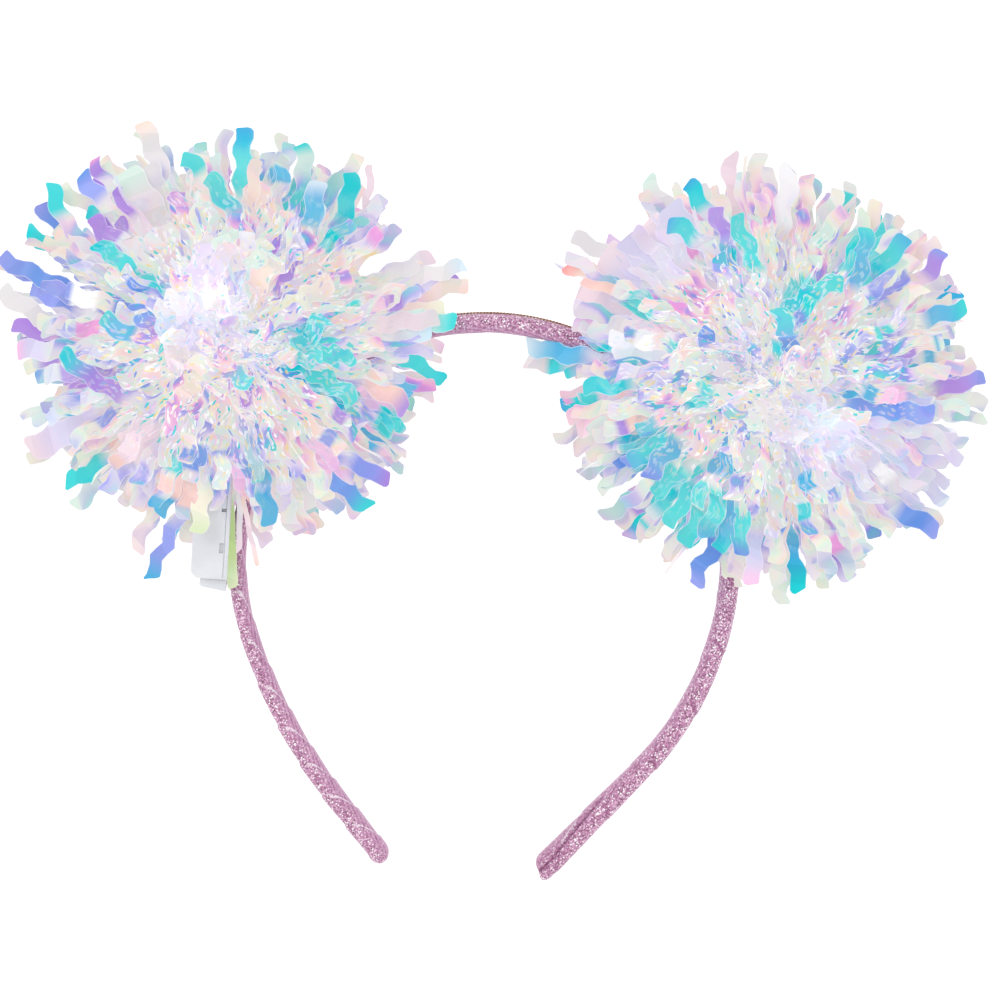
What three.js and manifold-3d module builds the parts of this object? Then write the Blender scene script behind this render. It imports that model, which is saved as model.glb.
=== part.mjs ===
import * as THREE from 'three';
import { mergeVertices } from 'three/addons/utils/BufferGeometryUtils.js';
import Module from 'manifold-3d';

// Light-up tinsel headband lying on its back: two tinsel balls and both ends of the band rest on the surface.
// Millimetres, +Z up, +Y from the ends of the band to its crown, +X across the head.

const wasm = await Module();
wasm.setup();

// Clearance between neighbouring pieces, and how far a cut runs past the face that it opens
const clearance = 0.35;
const cutOverrun = 1;

// Band: its plane leans up from the ends to the crown, which the balls lift off the surface
const bandLean = THREE.MathUtils.degToRad(8);
const endLineY = -99;
const endLineHeight = 3.95;
const bandSides = 14;
const bandStep = 6;
const sectionPower = 2.6;
const endRounding = 3.2;

// Route of the band in its own plane from the left end, as arcs that each turn to the right
const bandStart = { x: -31.1, y: 2.9, heading: 128.1 };
const bandRoute = [
  { stretch: 'left end', length: 20.0, turn: 0 },
  { stretch: 'left leg', length: 52.3, turn: 20.7 },
  { stretch: 'left shoulder', length: 76.9, turn: 68.2 },
  { stretch: 'crown', length: 94.6, turn: 80.1 },
  { stretch: 'right shoulder', length: 62.4, turn: 56.0 },
  { stretch: 'right leg', length: 56.2, turn: 37.5 },
  { stretch: 'right end', length: 38.6, turn: 0 },
];

// Thickness in the plane of the band and depth across it, at distances along the route
const bandSections = [
  { along: 0, thick: 5.8, deep: 8.2 },
  { along: 40, thick: 5.5, deep: 8.0 },
  { along: 100, thick: 4.5, deep: 7.8 },
  { along: 200, thick: 5.2, deep: 7.8 },
  { along: 300, thick: 5.6, deep: 7.8 },
  { along: 360, thick: 5.9, deep: 8.0 },
  { along: 401, thick: 6.8, deep: 8.4 },
];

// Tinsel balls: flat where they rest, widest low down, tufted all over, with a gently uneven outline
const pomSides = 40;
const pomRows = 10;
const tuftRelief = 0.025;
const pomWidestHeight = 18;
const pomRise = 54;
const pomUnderDepth = 36;
const poms = [
  { side: 'left', x: -72.2, y: 43.9, reach: 56.5, lobes: 3, unevenness: 0.02, lobeAt: 20 },
  { side: 'right', x: 72.2, y: 34.2, reach: 56.5, lobes: 3, unevenness: 0.02, lobeAt: 40 },
];

// Light beads: in line on the wire, each in front of the band inside its ball
const beadRadius = 1.7;
const beadLength = 6.4;
const beadSides = 10;
const beadArcSteps = 3;
const beads = [
  { side: 'left', x: -77.6, y: 55.2, z: 50, heading: 60 },
  { side: 'right', x: 87.9, y: 17.4, z: 42, heading: -20 },
];

// Wire: a twisted pair seen as one thin line on the outer edge of the band
const wireRadius = 0.3;
const wireGap = 0.2;
const wireSides = 8;
const wireStep = 3.2;
const wireOnBand = { from: 172, to: 244, every: 6, lift: 4 };
const wireRun = 8;

// Battery case on the outer side of the left leg, its lower end swung a little away from the band
const caseSize = { thick: 9.8, long: 30, deep: 26 };
const caseCorner = 2.4;
const caseEdge = 0.8;
const caseSeatAlong = 96;
const caseSeatGap = 0.1;
const caseBelowSeat = 7;
const caseSwing = THREE.MathUtils.degToRad(3.5);
const caseWall = { sides: 1.5, end: 1.6 };

// Marks on the front of the case: a shallow slot, a small hole above it, and the seam of its two halves
const caseRecesses = [
  { mark: 'slot', x: 3, y: 8.6, wide: 1.1, long: 2.7, deep: 0.7 },
  { mark: 'hole', x: 3.2, y: 18.9, wide: 1.3, long: 0.95, deep: 1.2 },
];
const caseSeam = { x: 3.8, wide: 0.25, deep: 0.25 };

// Drawer: a tray that fills the case and a cap that shows below it, longer towards the band
const trayBody = { outer: -2.75, inner: 3.85, long: 26, floor: 0.7 };
const trayCap = { outer: -2.45, inner: 4.7, long: 2.4, slant: 0.9, deep: 19, corner: 1.0, edge: 0.4 };
const trayNeck = { outer: -1.8, inner: 3.2, overlap: 1, deep: 15 };
const cell = { radius: 10, thick: 2.5, gap: 0.3, centre: 12, sides: 32 };

const colours = {
  ribbon: 0xcdacc1,
  film: 0xe6e4f2,
  resin: 0xf4f2ff,
  copper: 0xa8683c,
  casing: 0xf2f3f6,
  steel: 0xb9bcc0,
};

// A closed skin through rings of equal count, its two ends closed by fans on their middles
function loftGeometry(rings) {
  const sides = rings[0].length;
  const corners = rings.flat();
  const faces = [];
  const hub = (ring) => ring.reduce((sum, p) => sum.add(p), new THREE.Vector3()).divideScalar(sides);
  const first = corners.push(hub(rings[0])) - 1;
  const last = corners.push(hub(rings.at(-1))) - 1;
  const lastRing = (rings.length - 1) * sides;
  for (let side = 0; side < sides; side++) {
    const next = (side + 1) % sides;
    for (let ring = 0; ring < rings.length - 1; ring++) {
      const here = ring * sides;
      const there = here + sides;
      faces.push(here + side, here + next, there + next, here + side, there + next, there + side);
    }
    faces.push(first, next, side, last, lastRing + side, lastRing + next);
  }
  const geometry = new THREE.BufferGeometry().setFromPoints(corners);
  geometry.setIndex(faces);
  return geometry;
}

function toSolid(geometry) {
  const bare = geometry.clone();
  bare.deleteAttribute('normal');
  bare.deleteAttribute('uv');
  const merged = mergeVertices(bare, 1e-4);
  const faces = [];
  for (let i = 0; i < merged.index.count; i += 3) {
    const [a, b, c] = merged.index.array.slice(i, i + 3);
    if (a !== b && b !== c && c !== a) faces.push(a, b, c);
  }
  return new wasm.Manifold(new wasm.Mesh({
    numProp: 3,
    vertProperties: new Float32Array(merged.attributes.position.array),
    triVerts: new Uint32Array(faces),
  }));
}

function toGeometry(solid) {
  const mesh = solid.getMesh();
  const geometry = new THREE.BufferGeometry();
  geometry.setAttribute('position', new THREE.BufferAttribute(new Float32Array(mesh.vertProperties), 3));
  geometry.setIndex(new THREE.BufferAttribute(new Uint32Array(mesh.triVerts), 1));
  return geometry;
}

function cut(geometry, cutters) {
  const solid = cutters.reduce((rest, cutter) => rest.subtract(toSolid(cutter)), toSolid(geometry));
  return toGeometry(solid);
}

function makeMesh(name, geometry, color, roughness, metalness = 0) {
  geometry.computeVertexNormals();
  const material = new THREE.MeshStandardMaterial({ color, roughness, metalness });
  const mesh = new THREE.Mesh(geometry, material);
  mesh.name = name;
  return mesh;
}

// Place and heading on the band's route, each stretch an arc or a straight
function onRoute(along) {
  const spot = { x: bandStart.x, y: bandStart.y };
  let heading = THREE.MathUtils.degToRad(bandStart.heading);
  let left = along;
  for (const { length, turn } of bandRoute) {
    const run = Math.min(left, length);
    const turned = THREE.MathUtils.degToRad(turn) * run / length;
    const chord = turned ? run * Math.sin(turned / 2) / (turned / 2) : run;
    spot.x += chord * Math.cos(heading - turned / 2);
    spot.y += chord * Math.sin(heading - turned / 2);
    heading -= turned;
    left -= run;
    if (left <= 0) break;
  }
  return { ...spot, heading };
}

const bandLength = bandRoute.reduce((sum, { length }) => sum + length, 0);

function sectionAt(along) {
  const next = Math.max(1, bandSections.findIndex((row) => row.along >= along));
  const [from, to] = [bandSections[next - 1], bandSections[next]];
  const share = (along - from.along) / (to.along - from.along);
  const between = (key) => THREE.MathUtils.lerp(from[key], to[key], share);
  return { thick: between('thick'), deep: between('deep') };
}

// A point beside the route: out from the head in the plane of the band, and forward of that plane
function besideRoute(along, out, forward) {
  const { x, y, heading } = onRoute(along);
  return new THREE.Vector3(x - out * Math.sin(heading), y + out * Math.cos(heading), forward);
}

// Rounded sections along the route, drawn in at both ends as quarter circles
function bandGeometry(grow = 0) {
  const rounded = (turn, half) => Math.sign(turn) * Math.abs(turn) ** (2 / sectionPower) * half;
  const roundingSteps = [0.15, 0.4, 0.7].map((share) => share * endRounding);
  const inner = Math.round((bandLength - 2 * endRounding) / bandStep);
  const middles = Array.from({ length: inner + 1 }, (_, i) => (
    endRounding + (bandLength - 2 * endRounding) * i / inner));
  const closing = roundingSteps.map((step) => bandLength - step).reverse();
  const stations = [...roundingSteps, ...middles, ...closing];
  return loftGeometry(stations.map((along) => {
    const { thick, deep } = sectionAt(along);
    const fromEnd = Math.min(along, bandLength - along, endRounding) / endRounding;
    const fullness = Math.sqrt(1 - (1 - fromEnd) ** 2);
    return Array.from({ length: bandSides }, (_, i) => {
      const angle = 2 * Math.PI * i / bandSides;
      const out = rounded(Math.cos(angle), thick / 2 * fullness + grow);
      const forward = rounded(Math.sin(angle), deep / 2 * fullness + grow);
      return besideRoute(along, out, forward);
    });
  }));
}

// The frame of the band's own plane
const bandFrame = new THREE.Group();
bandFrame.position.set(0, endLineY, endLineHeight);
bandFrame.rotation.x = bandLean;
bandFrame.updateMatrixWorld(true);

// The middle of a wire that lies on the outer edge of the band, or is lifted off it
function onBandEdge(along, lift = 0) {
  const out = sectionAt(along).thick / 2 + wireGap + wireRadius;
  return besideRoute(along, out + lift, lift).applyMatrix4(bandFrame.matrixWorld);
}

// A round bar along a curve
function barGeometry(curve, radius) {
  const rim = Array.from({ length: wireSides }, (_, i) => {
    const angle = 2 * Math.PI * i / wireSides;
    return new THREE.Vector2(radius * Math.cos(angle), radius * Math.sin(angle));
  });
  const steps = Math.round(curve.getLength() / wireStep);
  return new THREE.ExtrudeGeometry(new THREE.Shape(rim), { steps, bevelEnabled: false, extrudePath: curve });
}

// A bead with round ends, turned on its own axis, which lies level
function beadGeometry(bead, grow = 0) {
  const profile = new THREE.Path();
  const straight = beadLength / 2 - beadRadius;
  profile.absarc(0, -straight, beadRadius + grow, -Math.PI / 2, 0);
  profile.absarc(0, straight, beadRadius + grow, 0, Math.PI / 2);
  const points = profile.getPoints(beadArcSteps);
  points[0].x = 0;
  points.at(-1).x = 0;
  const geometry = new THREE.LatheGeometry(points, beadSides);
  geometry.rotateZ(THREE.MathUtils.degToRad(bead.heading) - Math.PI / 2);
  return geometry.translate(bead.x, bead.y, bead.z);
}

// Where the wire meets a bead: -1 at its near end, +1 at its far end
function beadEnd(bead, end) {
  const heading = THREE.MathUtils.degToRad(bead.heading);
  const reach = end * (beadLength / 2 + clearance);
  return new THREE.Vector3(bead.x + reach * Math.cos(heading), bead.y + reach * Math.sin(heading), bead.z);
}

// A point past the end of a bead, so that the wire leaves it straight
function pastBead(bead, end, distance) {
  const tip = beadEnd(bead, end);
  const outward = tip.clone().sub(new THREE.Vector3(bead.x, bead.y, bead.z));
  return tip.add(outward.setLength(distance));
}

// A moulding in the frame of the case, +Y along the case from its lower end and +X towards the band:
// its two outer corners are round, all its edges are eased and its lower end may slant towards the band
function roundedPlate(outer, inner, lower, upper, depth, edge, corner, slant = 0) {
  const shape = new THREE.Shape();
  shape.moveTo(outer + corner, lower);
  shape.lineTo(inner, lower - slant);
  shape.lineTo(inner, upper);
  shape.lineTo(outer + corner, upper);
  shape.absarc(outer + corner, upper - corner, corner, Math.PI / 2, Math.PI);
  shape.lineTo(outer, lower + corner);
  shape.absarc(outer + corner, lower + corner, corner, Math.PI, 1.5 * Math.PI);
  const options = {
    depth: depth - 2 * edge,
    bevelEnabled: true,
    bevelSize: edge,
    bevelThickness: edge,
    bevelOffset: -edge,
    bevelSegments: 2,
    curveSegments: 5,
  };
  return new THREE.ExtrudeGeometry(shape, options).translate(0, 0, edge - depth / 2);
}

function block(outer, inner, lower, upper, depth) {
  return new THREE.BoxGeometry(inner - outer, upper - lower, depth)
    .translate((outer + inner) / 2, (lower + upper) / 2, 0);
}

const halfThick = caseSize.thick / 2;
const trayDeep = caseSize.deep - 2 * caseWall.sides - 2 * clearance;

function caseOuterGeometry(grow = 0) {
  return roundedPlate(-halfThick - grow, halfThick + grow, -grow, caseSize.long + grow,
    caseSize.deep + 2 * grow, caseEdge, caseCorner);
}

function caseGeometry() {
  const cavity = block(trayBody.outer - clearance, trayBody.inner + clearance,
    -cutOverrun, caseSize.long - caseWall.end, trayDeep + 2 * clearance);
  const front = caseSize.deep / 2;
  const recesses = caseRecesses.map(({ x, y, wide, long, deep }) => (
    new THREE.BoxGeometry(wide, long, 2 * deep).translate(x, y, front)));
  const seams = [-front, front].map((face) => (
    new THREE.BoxGeometry(caseSeam.wide, caseSize.long + 2 * cutOverrun, 2 * caseSeam.deep)
      .translate(caseSeam.x, caseSize.long / 2, face)));
  return cut(caseOuterGeometry(), [cavity, ...recesses, ...seams]);
}

function cellGeometry(outer, thick, radius) {
  return new THREE.CylinderGeometry(radius, radius, thick, cell.sides)
    .rotateZ(Math.PI / 2)
    .translate(outer + thick / 2, cell.centre, 0);
}

// The tray and its cap, joined by a neck inside the mouth of the case, with a round pocket for the cells
function trayGeometry() {
  const body = block(trayBody.outer, trayBody.inner, 0, trayBody.long, trayDeep);
  const cap = roundedPlate(trayCap.outer, trayCap.inner, -clearance - trayCap.long, -clearance,
    trayCap.deep, trayCap.edge, trayCap.corner, trayCap.slant);
  const neck = block(trayNeck.outer, trayNeck.inner, -clearance - trayNeck.overlap, trayNeck.overlap,
    trayNeck.deep);
  const pocketDepth = trayBody.inner - trayBody.floor - trayBody.outer;
  const pocket = cellGeometry(trayBody.outer - cutOverrun, pocketDepth + cutOverrun, cell.radius + clearance);
  return toGeometry(toSolid(body).add(toSolid(neck)).add(toSolid(cap)).subtract(toSolid(pocket)));
}

// The frame of the case: its inner side rests against the outer side of the band
const caseFrame = new THREE.Group();
const caseOut = sectionAt(caseSeatAlong).thick / 2 + caseSeatGap + halfThick;
caseFrame.position.copy(besideRoute(caseSeatAlong, caseOut, 0));
caseFrame.rotation.z = -caseSwing;
caseFrame.translateY(-caseBelowSeat);
bandFrame.add(caseFrame);
bandFrame.updateMatrixWorld(true);

// Wire from the upper end of the case to the left bead, and on over the crown to the right bead
const [leftBead, rightBead] = beads;
const caseExit = caseFrame.localToWorld(new THREE.Vector3(halfThick / 2, caseSize.long + clearance, 0));
const aboveExit = caseFrame.localToWorld(new THREE.Vector3(halfThick / 2, caseSize.long + wireRun, 0));
const leadCurve = new THREE.CatmullRomCurve3([
  caseExit,
  aboveExit,
  pastBead(leftBead, -1, wireRun),
  beadEnd(leftBead, -1),
]);
const archPoints = [];
for (let along = wireOnBand.from; along <= wireOnBand.to; along += wireOnBand.every) {
  archPoints.push(onBandEdge(along));
}
const archCurve = new THREE.CatmullRomCurve3([
  beadEnd(leftBead, 1),
  pastBead(leftBead, 1, wireRun),
  onBandEdge(wireOnBand.from - wireOnBand.every, wireOnBand.lift),
  ...archPoints,
  onBandEdge(wireOnBand.to + wireOnBand.every, wireOnBand.lift),
  pastBead(rightBead, -1, wireRun),
  beadEnd(rightBead, -1),
]);

// A ball of tinsel as its outer form: level rings, an ellipse in height, with lobes round the outline
// and tufts that stand out and in by turns
function pomGeometry(pom) {
  const lowest = -Math.asin(pomWidestHeight / pomUnderDepth);
  const rings = Array.from({ length: pomRows }, (_, row) => {
    const angle = THREE.MathUtils.lerp(lowest, Math.PI / 2, row / (pomRows - 0.5));
    const height = pomWidestHeight + Math.sin(angle) * (angle < 0 ? pomUnderDepth : pomRise);
    return Array.from({ length: pomSides }, (__, i) => {
      const bearing = 2 * Math.PI * i / pomSides;
      const lobe = Math.cos(pom.lobes * (bearing - THREE.MathUtils.degToRad(pom.lobeAt)));
      const tuft = (row + i) % 2 ? tuftRelief : -tuftRelief;
      const reach = pom.reach * Math.cos(angle) * (1 + pom.unevenness * lobe + tuft);
      return new THREE.Vector3(pom.x + reach * Math.cos(bearing), pom.y + reach * Math.sin(bearing), height);
    });
  });
  return loftGeometry(rings);
}

const wireCutters = [leadCurve, archCurve].map((curve) => barGeometry(curve, wireRadius + clearance));
const bandCutter = bandGeometry(clearance).applyMatrix4(bandFrame.matrixWorld);
const caseCutter = caseOuterGeometry(2 * clearance).applyMatrix4(caseFrame.matrixWorld);
const beadCutters = beads.map((bead) => beadGeometry(bead, 2 * clearance));

const part = new THREE.Group();
part.add(bandFrame);
bandFrame.add(makeMesh('headband', bandGeometry(), colours.ribbon, 0.6));
caseFrame.add(
  makeMesh('battery_case', caseGeometry(), colours.casing, 0.45),
  makeMesh('battery_tray', trayGeometry(), colours.casing, 0.5),
);
['outer', 'inner'].forEach((layer, i) => {
  const face = trayBody.outer + cell.gap + i * (cell.thick + cell.gap);
  const geometry = cellGeometry(face, cell.thick, cell.radius);
  caseFrame.add(makeMesh(`coin_cell_${layer}`, geometry, colours.steel, 0.3, 1));
});
part.add(
  makeMesh('led_wire_lead', barGeometry(leadCurve, wireRadius), colours.copper, 0.35, 1),
  makeMesh('led_wire_arch', barGeometry(archCurve, wireRadius), colours.copper, 0.35, 1),
);
for (const bead of beads) {
  part.add(makeMesh(`led_${bead.side}`, beadGeometry(bead), colours.resin, 0.2));
}
for (const pom of poms) {
  const around = [bandCutter, caseCutter, ...wireCutters, ...beadCutters];
  part.add(makeMesh(`tinsel_pom_${pom.side}`, cut(pomGeometry(pom), around), colours.film, 0.3));
}

// Origin under the middle of the whole, on the surface that it lies on
const extent = new THREE.Box3().setFromObject(part, true);
const middle = extent.getCenter(new THREE.Vector3());
part.position.set(-middle.x, -middle.y, -extent.min.z);

export default part;
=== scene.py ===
import math

import bpy
import numpy as np
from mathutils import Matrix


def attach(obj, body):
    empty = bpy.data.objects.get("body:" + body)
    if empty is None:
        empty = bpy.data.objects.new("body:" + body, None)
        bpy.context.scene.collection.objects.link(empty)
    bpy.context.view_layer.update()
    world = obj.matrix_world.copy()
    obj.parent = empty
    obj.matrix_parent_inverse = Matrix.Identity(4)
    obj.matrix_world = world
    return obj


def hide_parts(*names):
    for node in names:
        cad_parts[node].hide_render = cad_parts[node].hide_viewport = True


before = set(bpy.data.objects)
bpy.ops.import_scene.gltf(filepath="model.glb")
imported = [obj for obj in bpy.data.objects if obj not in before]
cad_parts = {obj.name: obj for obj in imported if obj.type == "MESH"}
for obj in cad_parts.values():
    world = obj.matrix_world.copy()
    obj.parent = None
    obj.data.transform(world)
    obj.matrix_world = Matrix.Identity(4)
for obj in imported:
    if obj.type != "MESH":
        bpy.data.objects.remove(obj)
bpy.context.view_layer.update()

# Light-up tinsel headband, lying on its back. Shapes are worked out in millimetres and stored in metres.
millimetre = 0.001
sharpAngle = 50            # degrees between faces that show as an edge
plasticIor = 1.5
random = np.random.default_rng(2607)
print("frame loaded:", len(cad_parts), "nodes")


# sRGB hex to linear: each channel has the display curve undone
def linearColour(hexText):
    channels = np.array([int(hexText[i:i + 2], 16) for i in (1, 3, 5)]) / 255
    linear = np.where(channels <= 0.04045, channels / 12.92, ((channels + 0.055) / 1.055) ** 2.4)
    return (*linear.tolist(), 1.0)


# adds one node, sets its properties and plain sockets, and links the sockets that other nodes feed
def addNode(tree, kind, plain=None, fed=None, **properties):
    node = tree.nodes.new(kind)
    for name, value in properties.items():
        setattr(node, name, value)
    for socket, value in (plain or {}).items():
        node.inputs[socket].default_value = value
    for socket, source in (fed or {}).items():
        tree.links.new(source, node.inputs[socket])
    return node


# a new material with an empty node tree
def startMaterial(name):
    material = bpy.data.materials.new(name)
    material.use_nodes = True
    material.node_tree.nodes.clear()
    return material, material.node_tree


# a colour ramp node filled from a list of places and hex colours
def fillRamp(ramp, stops):
    while len(ramp.elements) > 1:
        ramp.elements.remove(ramp.elements[-1])
    for i, (place, colour) in enumerate(stops):
        stop = ramp.elements[0] if i == 0 else ramp.elements.new(place)
        stop.position = place
        stop.color = linearColour(colour)


# vectors divided by their own lengths
def unit(vectors):
    return vectors / np.maximum(np.linalg.norm(vectors, axis=-1, keepdims=True), 1e-9)


# 0 below low, 1 above high, and an S curve of 3x^2 - 2x^3 between them
def ease(low, high, value):
    share = np.clip((value - low) / (high - low), 0, 1)
    return share * share * (3 - 2 * share)


# corner numbers of a grid's quads, row by row; a closed grid joins its last column to its first
def gridQuads(rows, columns, closed):
    here = np.arange(rows * columns).reshape(rows, columns)
    right = np.roll(here, -1, axis=1)
    quads = np.stack([here[:-1], right[:-1], right[1:], here[1:]], axis=-1)
    return (quads if closed else quads[:, :-1]).reshape(-1, 4)


# a mesh object from points in millimetres and arrays of faces, riding on a body of the frame; the UV map is
# given for each point, or for each corner where it has a seam
def makePiece(name, points, faces, material, body="band", uv=None, tints=None, values=None):
    mesh = bpy.data.meshes.new(name)
    corners = np.concatenate([group.ravel() for group in faces])
    sizes = np.concatenate([np.full(len(group), group.shape[1]) for group in faces])
    mesh.vertices.add(len(points))
    mesh.vertices.foreach_set("co", (points * millimetre).ravel())
    mesh.loops.add(len(corners))
    mesh.loops.foreach_set("vertex_index", corners)
    mesh.polygons.add(len(sizes))
    mesh.polygons.foreach_set("loop_start", np.cumsum(sizes) - sizes)
    mesh.update(calc_edges=True)
    mesh.validate()
    if uv is not None:
        cornerUv = uv if len(uv) == len(corners) else uv[corners]
        mesh.uv_layers.new(name="surface").data.foreach_set("uv", cornerUv.ravel())
    if tints is not None:
        mesh.attributes.new("tint", "FLOAT_COLOR", "POINT").data.foreach_set("color", tints.ravel())
    for label, numbers in (values or {}).items():
        mesh.attributes.new(label, "FLOAT", "POINT").data.foreach_set("value", numbers.ravel())
    mesh.shade_smooth()
    mesh.set_sharp_from_angle(angle=math.radians(sharpAngle))
    mesh.materials.append(material)
    piece = bpy.data.objects.new(name, mesh)
    bpy.context.scene.collection.objects.link(piece)
    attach(piece, body)
    return piece


# Camera straight above, at the height where a pixel of the 1000 x 1000 picture shows 0.27 mm
photoFrame = {
    "pixelSize": 0.27,
    "pixels": 1000,
    "distance": 2500.0,
    "level": 15.0,
    "centreX": 0.135,
    "centreY": 1.351,
    "sensor": 36.0,
    "farthest": 20.0,          # metres
}


# lens = sensor width x distance / width of what the picture shows
def placeCamera(settings):
    shownWidth = settings["pixelSize"] * settings["pixels"]
    data = bpy.data.cameras.new("camera")
    data.sensor_width = settings["sensor"]
    data.lens = settings["sensor"] * settings["distance"] / shownWidth
    data.clip_end = settings["farthest"]
    camera = bpy.data.objects.new("camera", data)
    height = settings["level"] + settings["distance"]
    camera.location = np.array([settings["centreX"], settings["centreY"], height]) * millimetre
    bpy.context.scene.collection.objects.link(camera)
    bpy.context.scene.camera = camera


placeCamera(photoFrame)

# Bright, nearly shadowless studio: white surroundings, two large soft lamps and a pale floor
studio = {
    "white": "#FFFFFF",
    "surroundings": 0.95,
    "floorColour": "#B4B4B6",
    "floorGlow": 0.80,
    "floorRough": 0.9,
    "floorShine": 0.1,
    "floorSpan": 6000.0,
    "floorDrop": 0.2,
    "bounces": 4,
    "diffuseBounces": 2,
    "lamps": [
        {"name": "key", "x": -900, "y": 700, "z": 1700, "span": 700, "watts": 7.0},
        {"name": "fill", "x": 1000, "y": -500, "z": 1500, "span": 900, "watts": 3.0},
    ],
}


# square soft lamps aimed at the middle of the object, a white world and a level floor
def lightStudio(settings):
    scene = bpy.context.scene
    scene.view_settings.view_transform = "Standard"
    scene.cycles.max_bounces = settings["bounces"]
    scene.cycles.diffuse_bounces = settings["diffuseBounces"]
    scene.cycles.transparent_max_bounces = settings["bounces"]
    world = bpy.data.worlds.new("surroundings")
    scene.world = world
    world.use_nodes = True
    world.node_tree.nodes.clear()
    white = addNode(world.node_tree, "ShaderNodeBackground",
                    plain={"Color": linearColour(settings["white"]), "Strength": settings["surroundings"]})
    addNode(world.node_tree, "ShaderNodeOutputWorld", fed={"Surface": white.outputs[0]})
    for lamp in settings["lamps"]:
        data = bpy.data.lights.new(lamp["name"], "AREA")
        data.size = lamp["span"] * millimetre
        data.energy = lamp["watts"]
        holder = bpy.data.objects.new(lamp["name"], data)
        place = np.array([lamp["x"], lamp["y"], lamp["z"]]) * millimetre
        holder.location = place
        flat = math.hypot(place[0], place[1])
        holder.rotation_euler = (math.atan2(flat, place[2]), 0, math.atan2(place[0], -place[1]))
        scene.collection.objects.link(holder)
    material, tree = startMaterial("paintedBoard")
    # matt white board: pale, even and without gloss
    board = addNode(tree, "ShaderNodeBsdfPrincipled", plain={
        "Base Color": linearColour(settings["floorColour"]), "Roughness": settings["floorRough"],
        "Specular IOR Level": settings["floorShine"], "Emission Color": linearColour(settings["white"]),
        "Emission Strength": settings["floorGlow"]})
    addNode(tree, "ShaderNodeOutputMaterial", fed={"Surface": board.outputs[0]})
    material.cycles.emission_sampling = "NONE"
    half = settings["floorSpan"] / 2 * millimetre
    drop = -settings["floorDrop"] * millimetre
    mesh = bpy.data.meshes.new("floor")
    mesh.from_pydata([(-half, -half, drop), (half, -half, drop), (half, half, drop), (-half, half, drop)],
                     [], [(0, 1, 2, 3)])
    mesh.materials.append(material)
    floor = bpy.data.objects.new("floor", mesh)
    scene.collection.objects.link(floor)


lightStudio(studio)
print("camera and studio ready")

# Band: a sprung core wound with glitter ribbon, on the frame's own route
ribbonBand = {
    "lean": 8.0,
    "endLineY": -98.864,
    "endLineHeight": 3.95,
    "startX": -31.1,
    "startY": 2.9,
    "startHeading": 128.1,
    "route": [
        {"length": 20.0, "turn": 0.0},     # left end
        {"length": 52.3, "turn": 20.7},    # left leg
        {"length": 76.9, "turn": 68.2},    # left shoulder
        {"length": 94.6, "turn": 80.1},    # crown
        {"length": 62.4, "turn": 56.0},    # right shoulder
        {"length": 56.2, "turn": 37.5},    # right leg
        {"length": 38.6, "turn": 0.0},     # right end
    ],
    "sections": [
        {"along": 0, "thick": 5.8, "deep": 8.2},
        {"along": 40, "thick": 5.5, "deep": 8.0},
        {"along": 100, "thick": 4.5, "deep": 7.8},
        {"along": 200, "thick": 5.2, "deep": 7.8},
        {"along": 300, "thick": 5.6, "deep": 7.8},
        {"along": 360, "thick": 5.9, "deep": 8.0},
        {"along": 401, "thick": 6.8, "deep": 8.4},
    ],
    "sectionPower": 2.6,
    "endRounding": 3.2,
    "endRings": 8,
    "endAngle": 0.12,          # radians from the end's own axis to its first ring
    "ringStep": 0.5,
    "sides": 56,
    "courseSteps": 8001,
    "slantSteps": 2001,
    "turnPitches": [(0, 9.4), (30, 10.6), (60, 13.4), (150, 15.0), (401, 19.0)],
    "turnStart": 0.445,
    "frontShare": 0.25,        # of a turn that counts as made at the front
    "slantGain": 3.0,          # the ribbon's edge bends along the band near the inner side of the front
    "slantAngle": 2.3,
    "slantFocus": 3.5,
    "ribbonLap": 0.24,
    "leftLap": 0.16,           # more on the left leg, where the turns stand out
    "leftLapTo": (90, 50),     # mm along the band between which a feature fades in, here and below
    "lapFrom": (1, 7),
    "lapRun": 0.6,
    "lapRest": 0.6,            # share of the lap that lies under the section's outline
    "foldLength": 31.0,        # lengthwise fold of the ribbon at the right tip
    "foldFull": 0.75,
    "foldAngle": 1.62,         # radians round the band at the tip, and on to the fold's far end
    "foldSweep": 1.1,
    "foldCurve": 1.3,
    "foldDepth": 1.0,
    "foldWidth": 0.15,
    "foldShade": 0.3,
    "lobeEdge": 0.3,
    "foldNotch": 2.0,
    "notchWidth": 0.4,
    "notchCurve": 0.3,
    "leftLobe": 0.9,           # mm that the outer half stands past the inner at each tip
    "rightLobe": 2.0,
    "leftTip": 10,
    "rightTip": 12,
    "outerSide": (-0.3, 0.8),  # shares of the half thickness, outwards from the middle
    "innerSide": (0.45, 0.0),
    "glitterSide": (-0.75, 0.25),
    "glitterLeast": 0.25,
    "glitterRight": 0.4,
    "leftLeg": (120, 80),
    "rightLeg": (280, 310),
    "stitchFrom": (6, 9),
}


# headings fall evenly along each arc, and the place is the running sum of small straight steps; past the
# ends it goes straight on
def bandCourse(settings, along):
    lengths = np.array([row["length"] for row in settings["route"]])
    turns = np.array([row["turn"] for row in settings["route"]])
    joins = np.concatenate([[0], np.cumsum(lengths)])
    turned = np.concatenate([[0], np.cumsum(turns)])
    fine = np.linspace(0, joins[-1], settings["courseSteps"])
    headings = np.radians(settings["startHeading"] - np.interp(fine, joins, turned))
    step = fine[1] - fine[0]
    middle = (headings[1:] + headings[:-1]) / 2
    x = settings["startX"] + np.concatenate([[0], np.cumsum(np.cos(middle) * step)])
    y = settings["startY"] + np.concatenate([[0], np.cumsum(np.sin(middle) * step)])
    heading = np.interp(along, fine, headings)
    past = along - np.clip(along, 0, joins[-1])
    return (np.interp(along, fine, x) + past * np.cos(heading),
            np.interp(along, fine, y) + past * np.sin(heading), heading)


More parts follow.
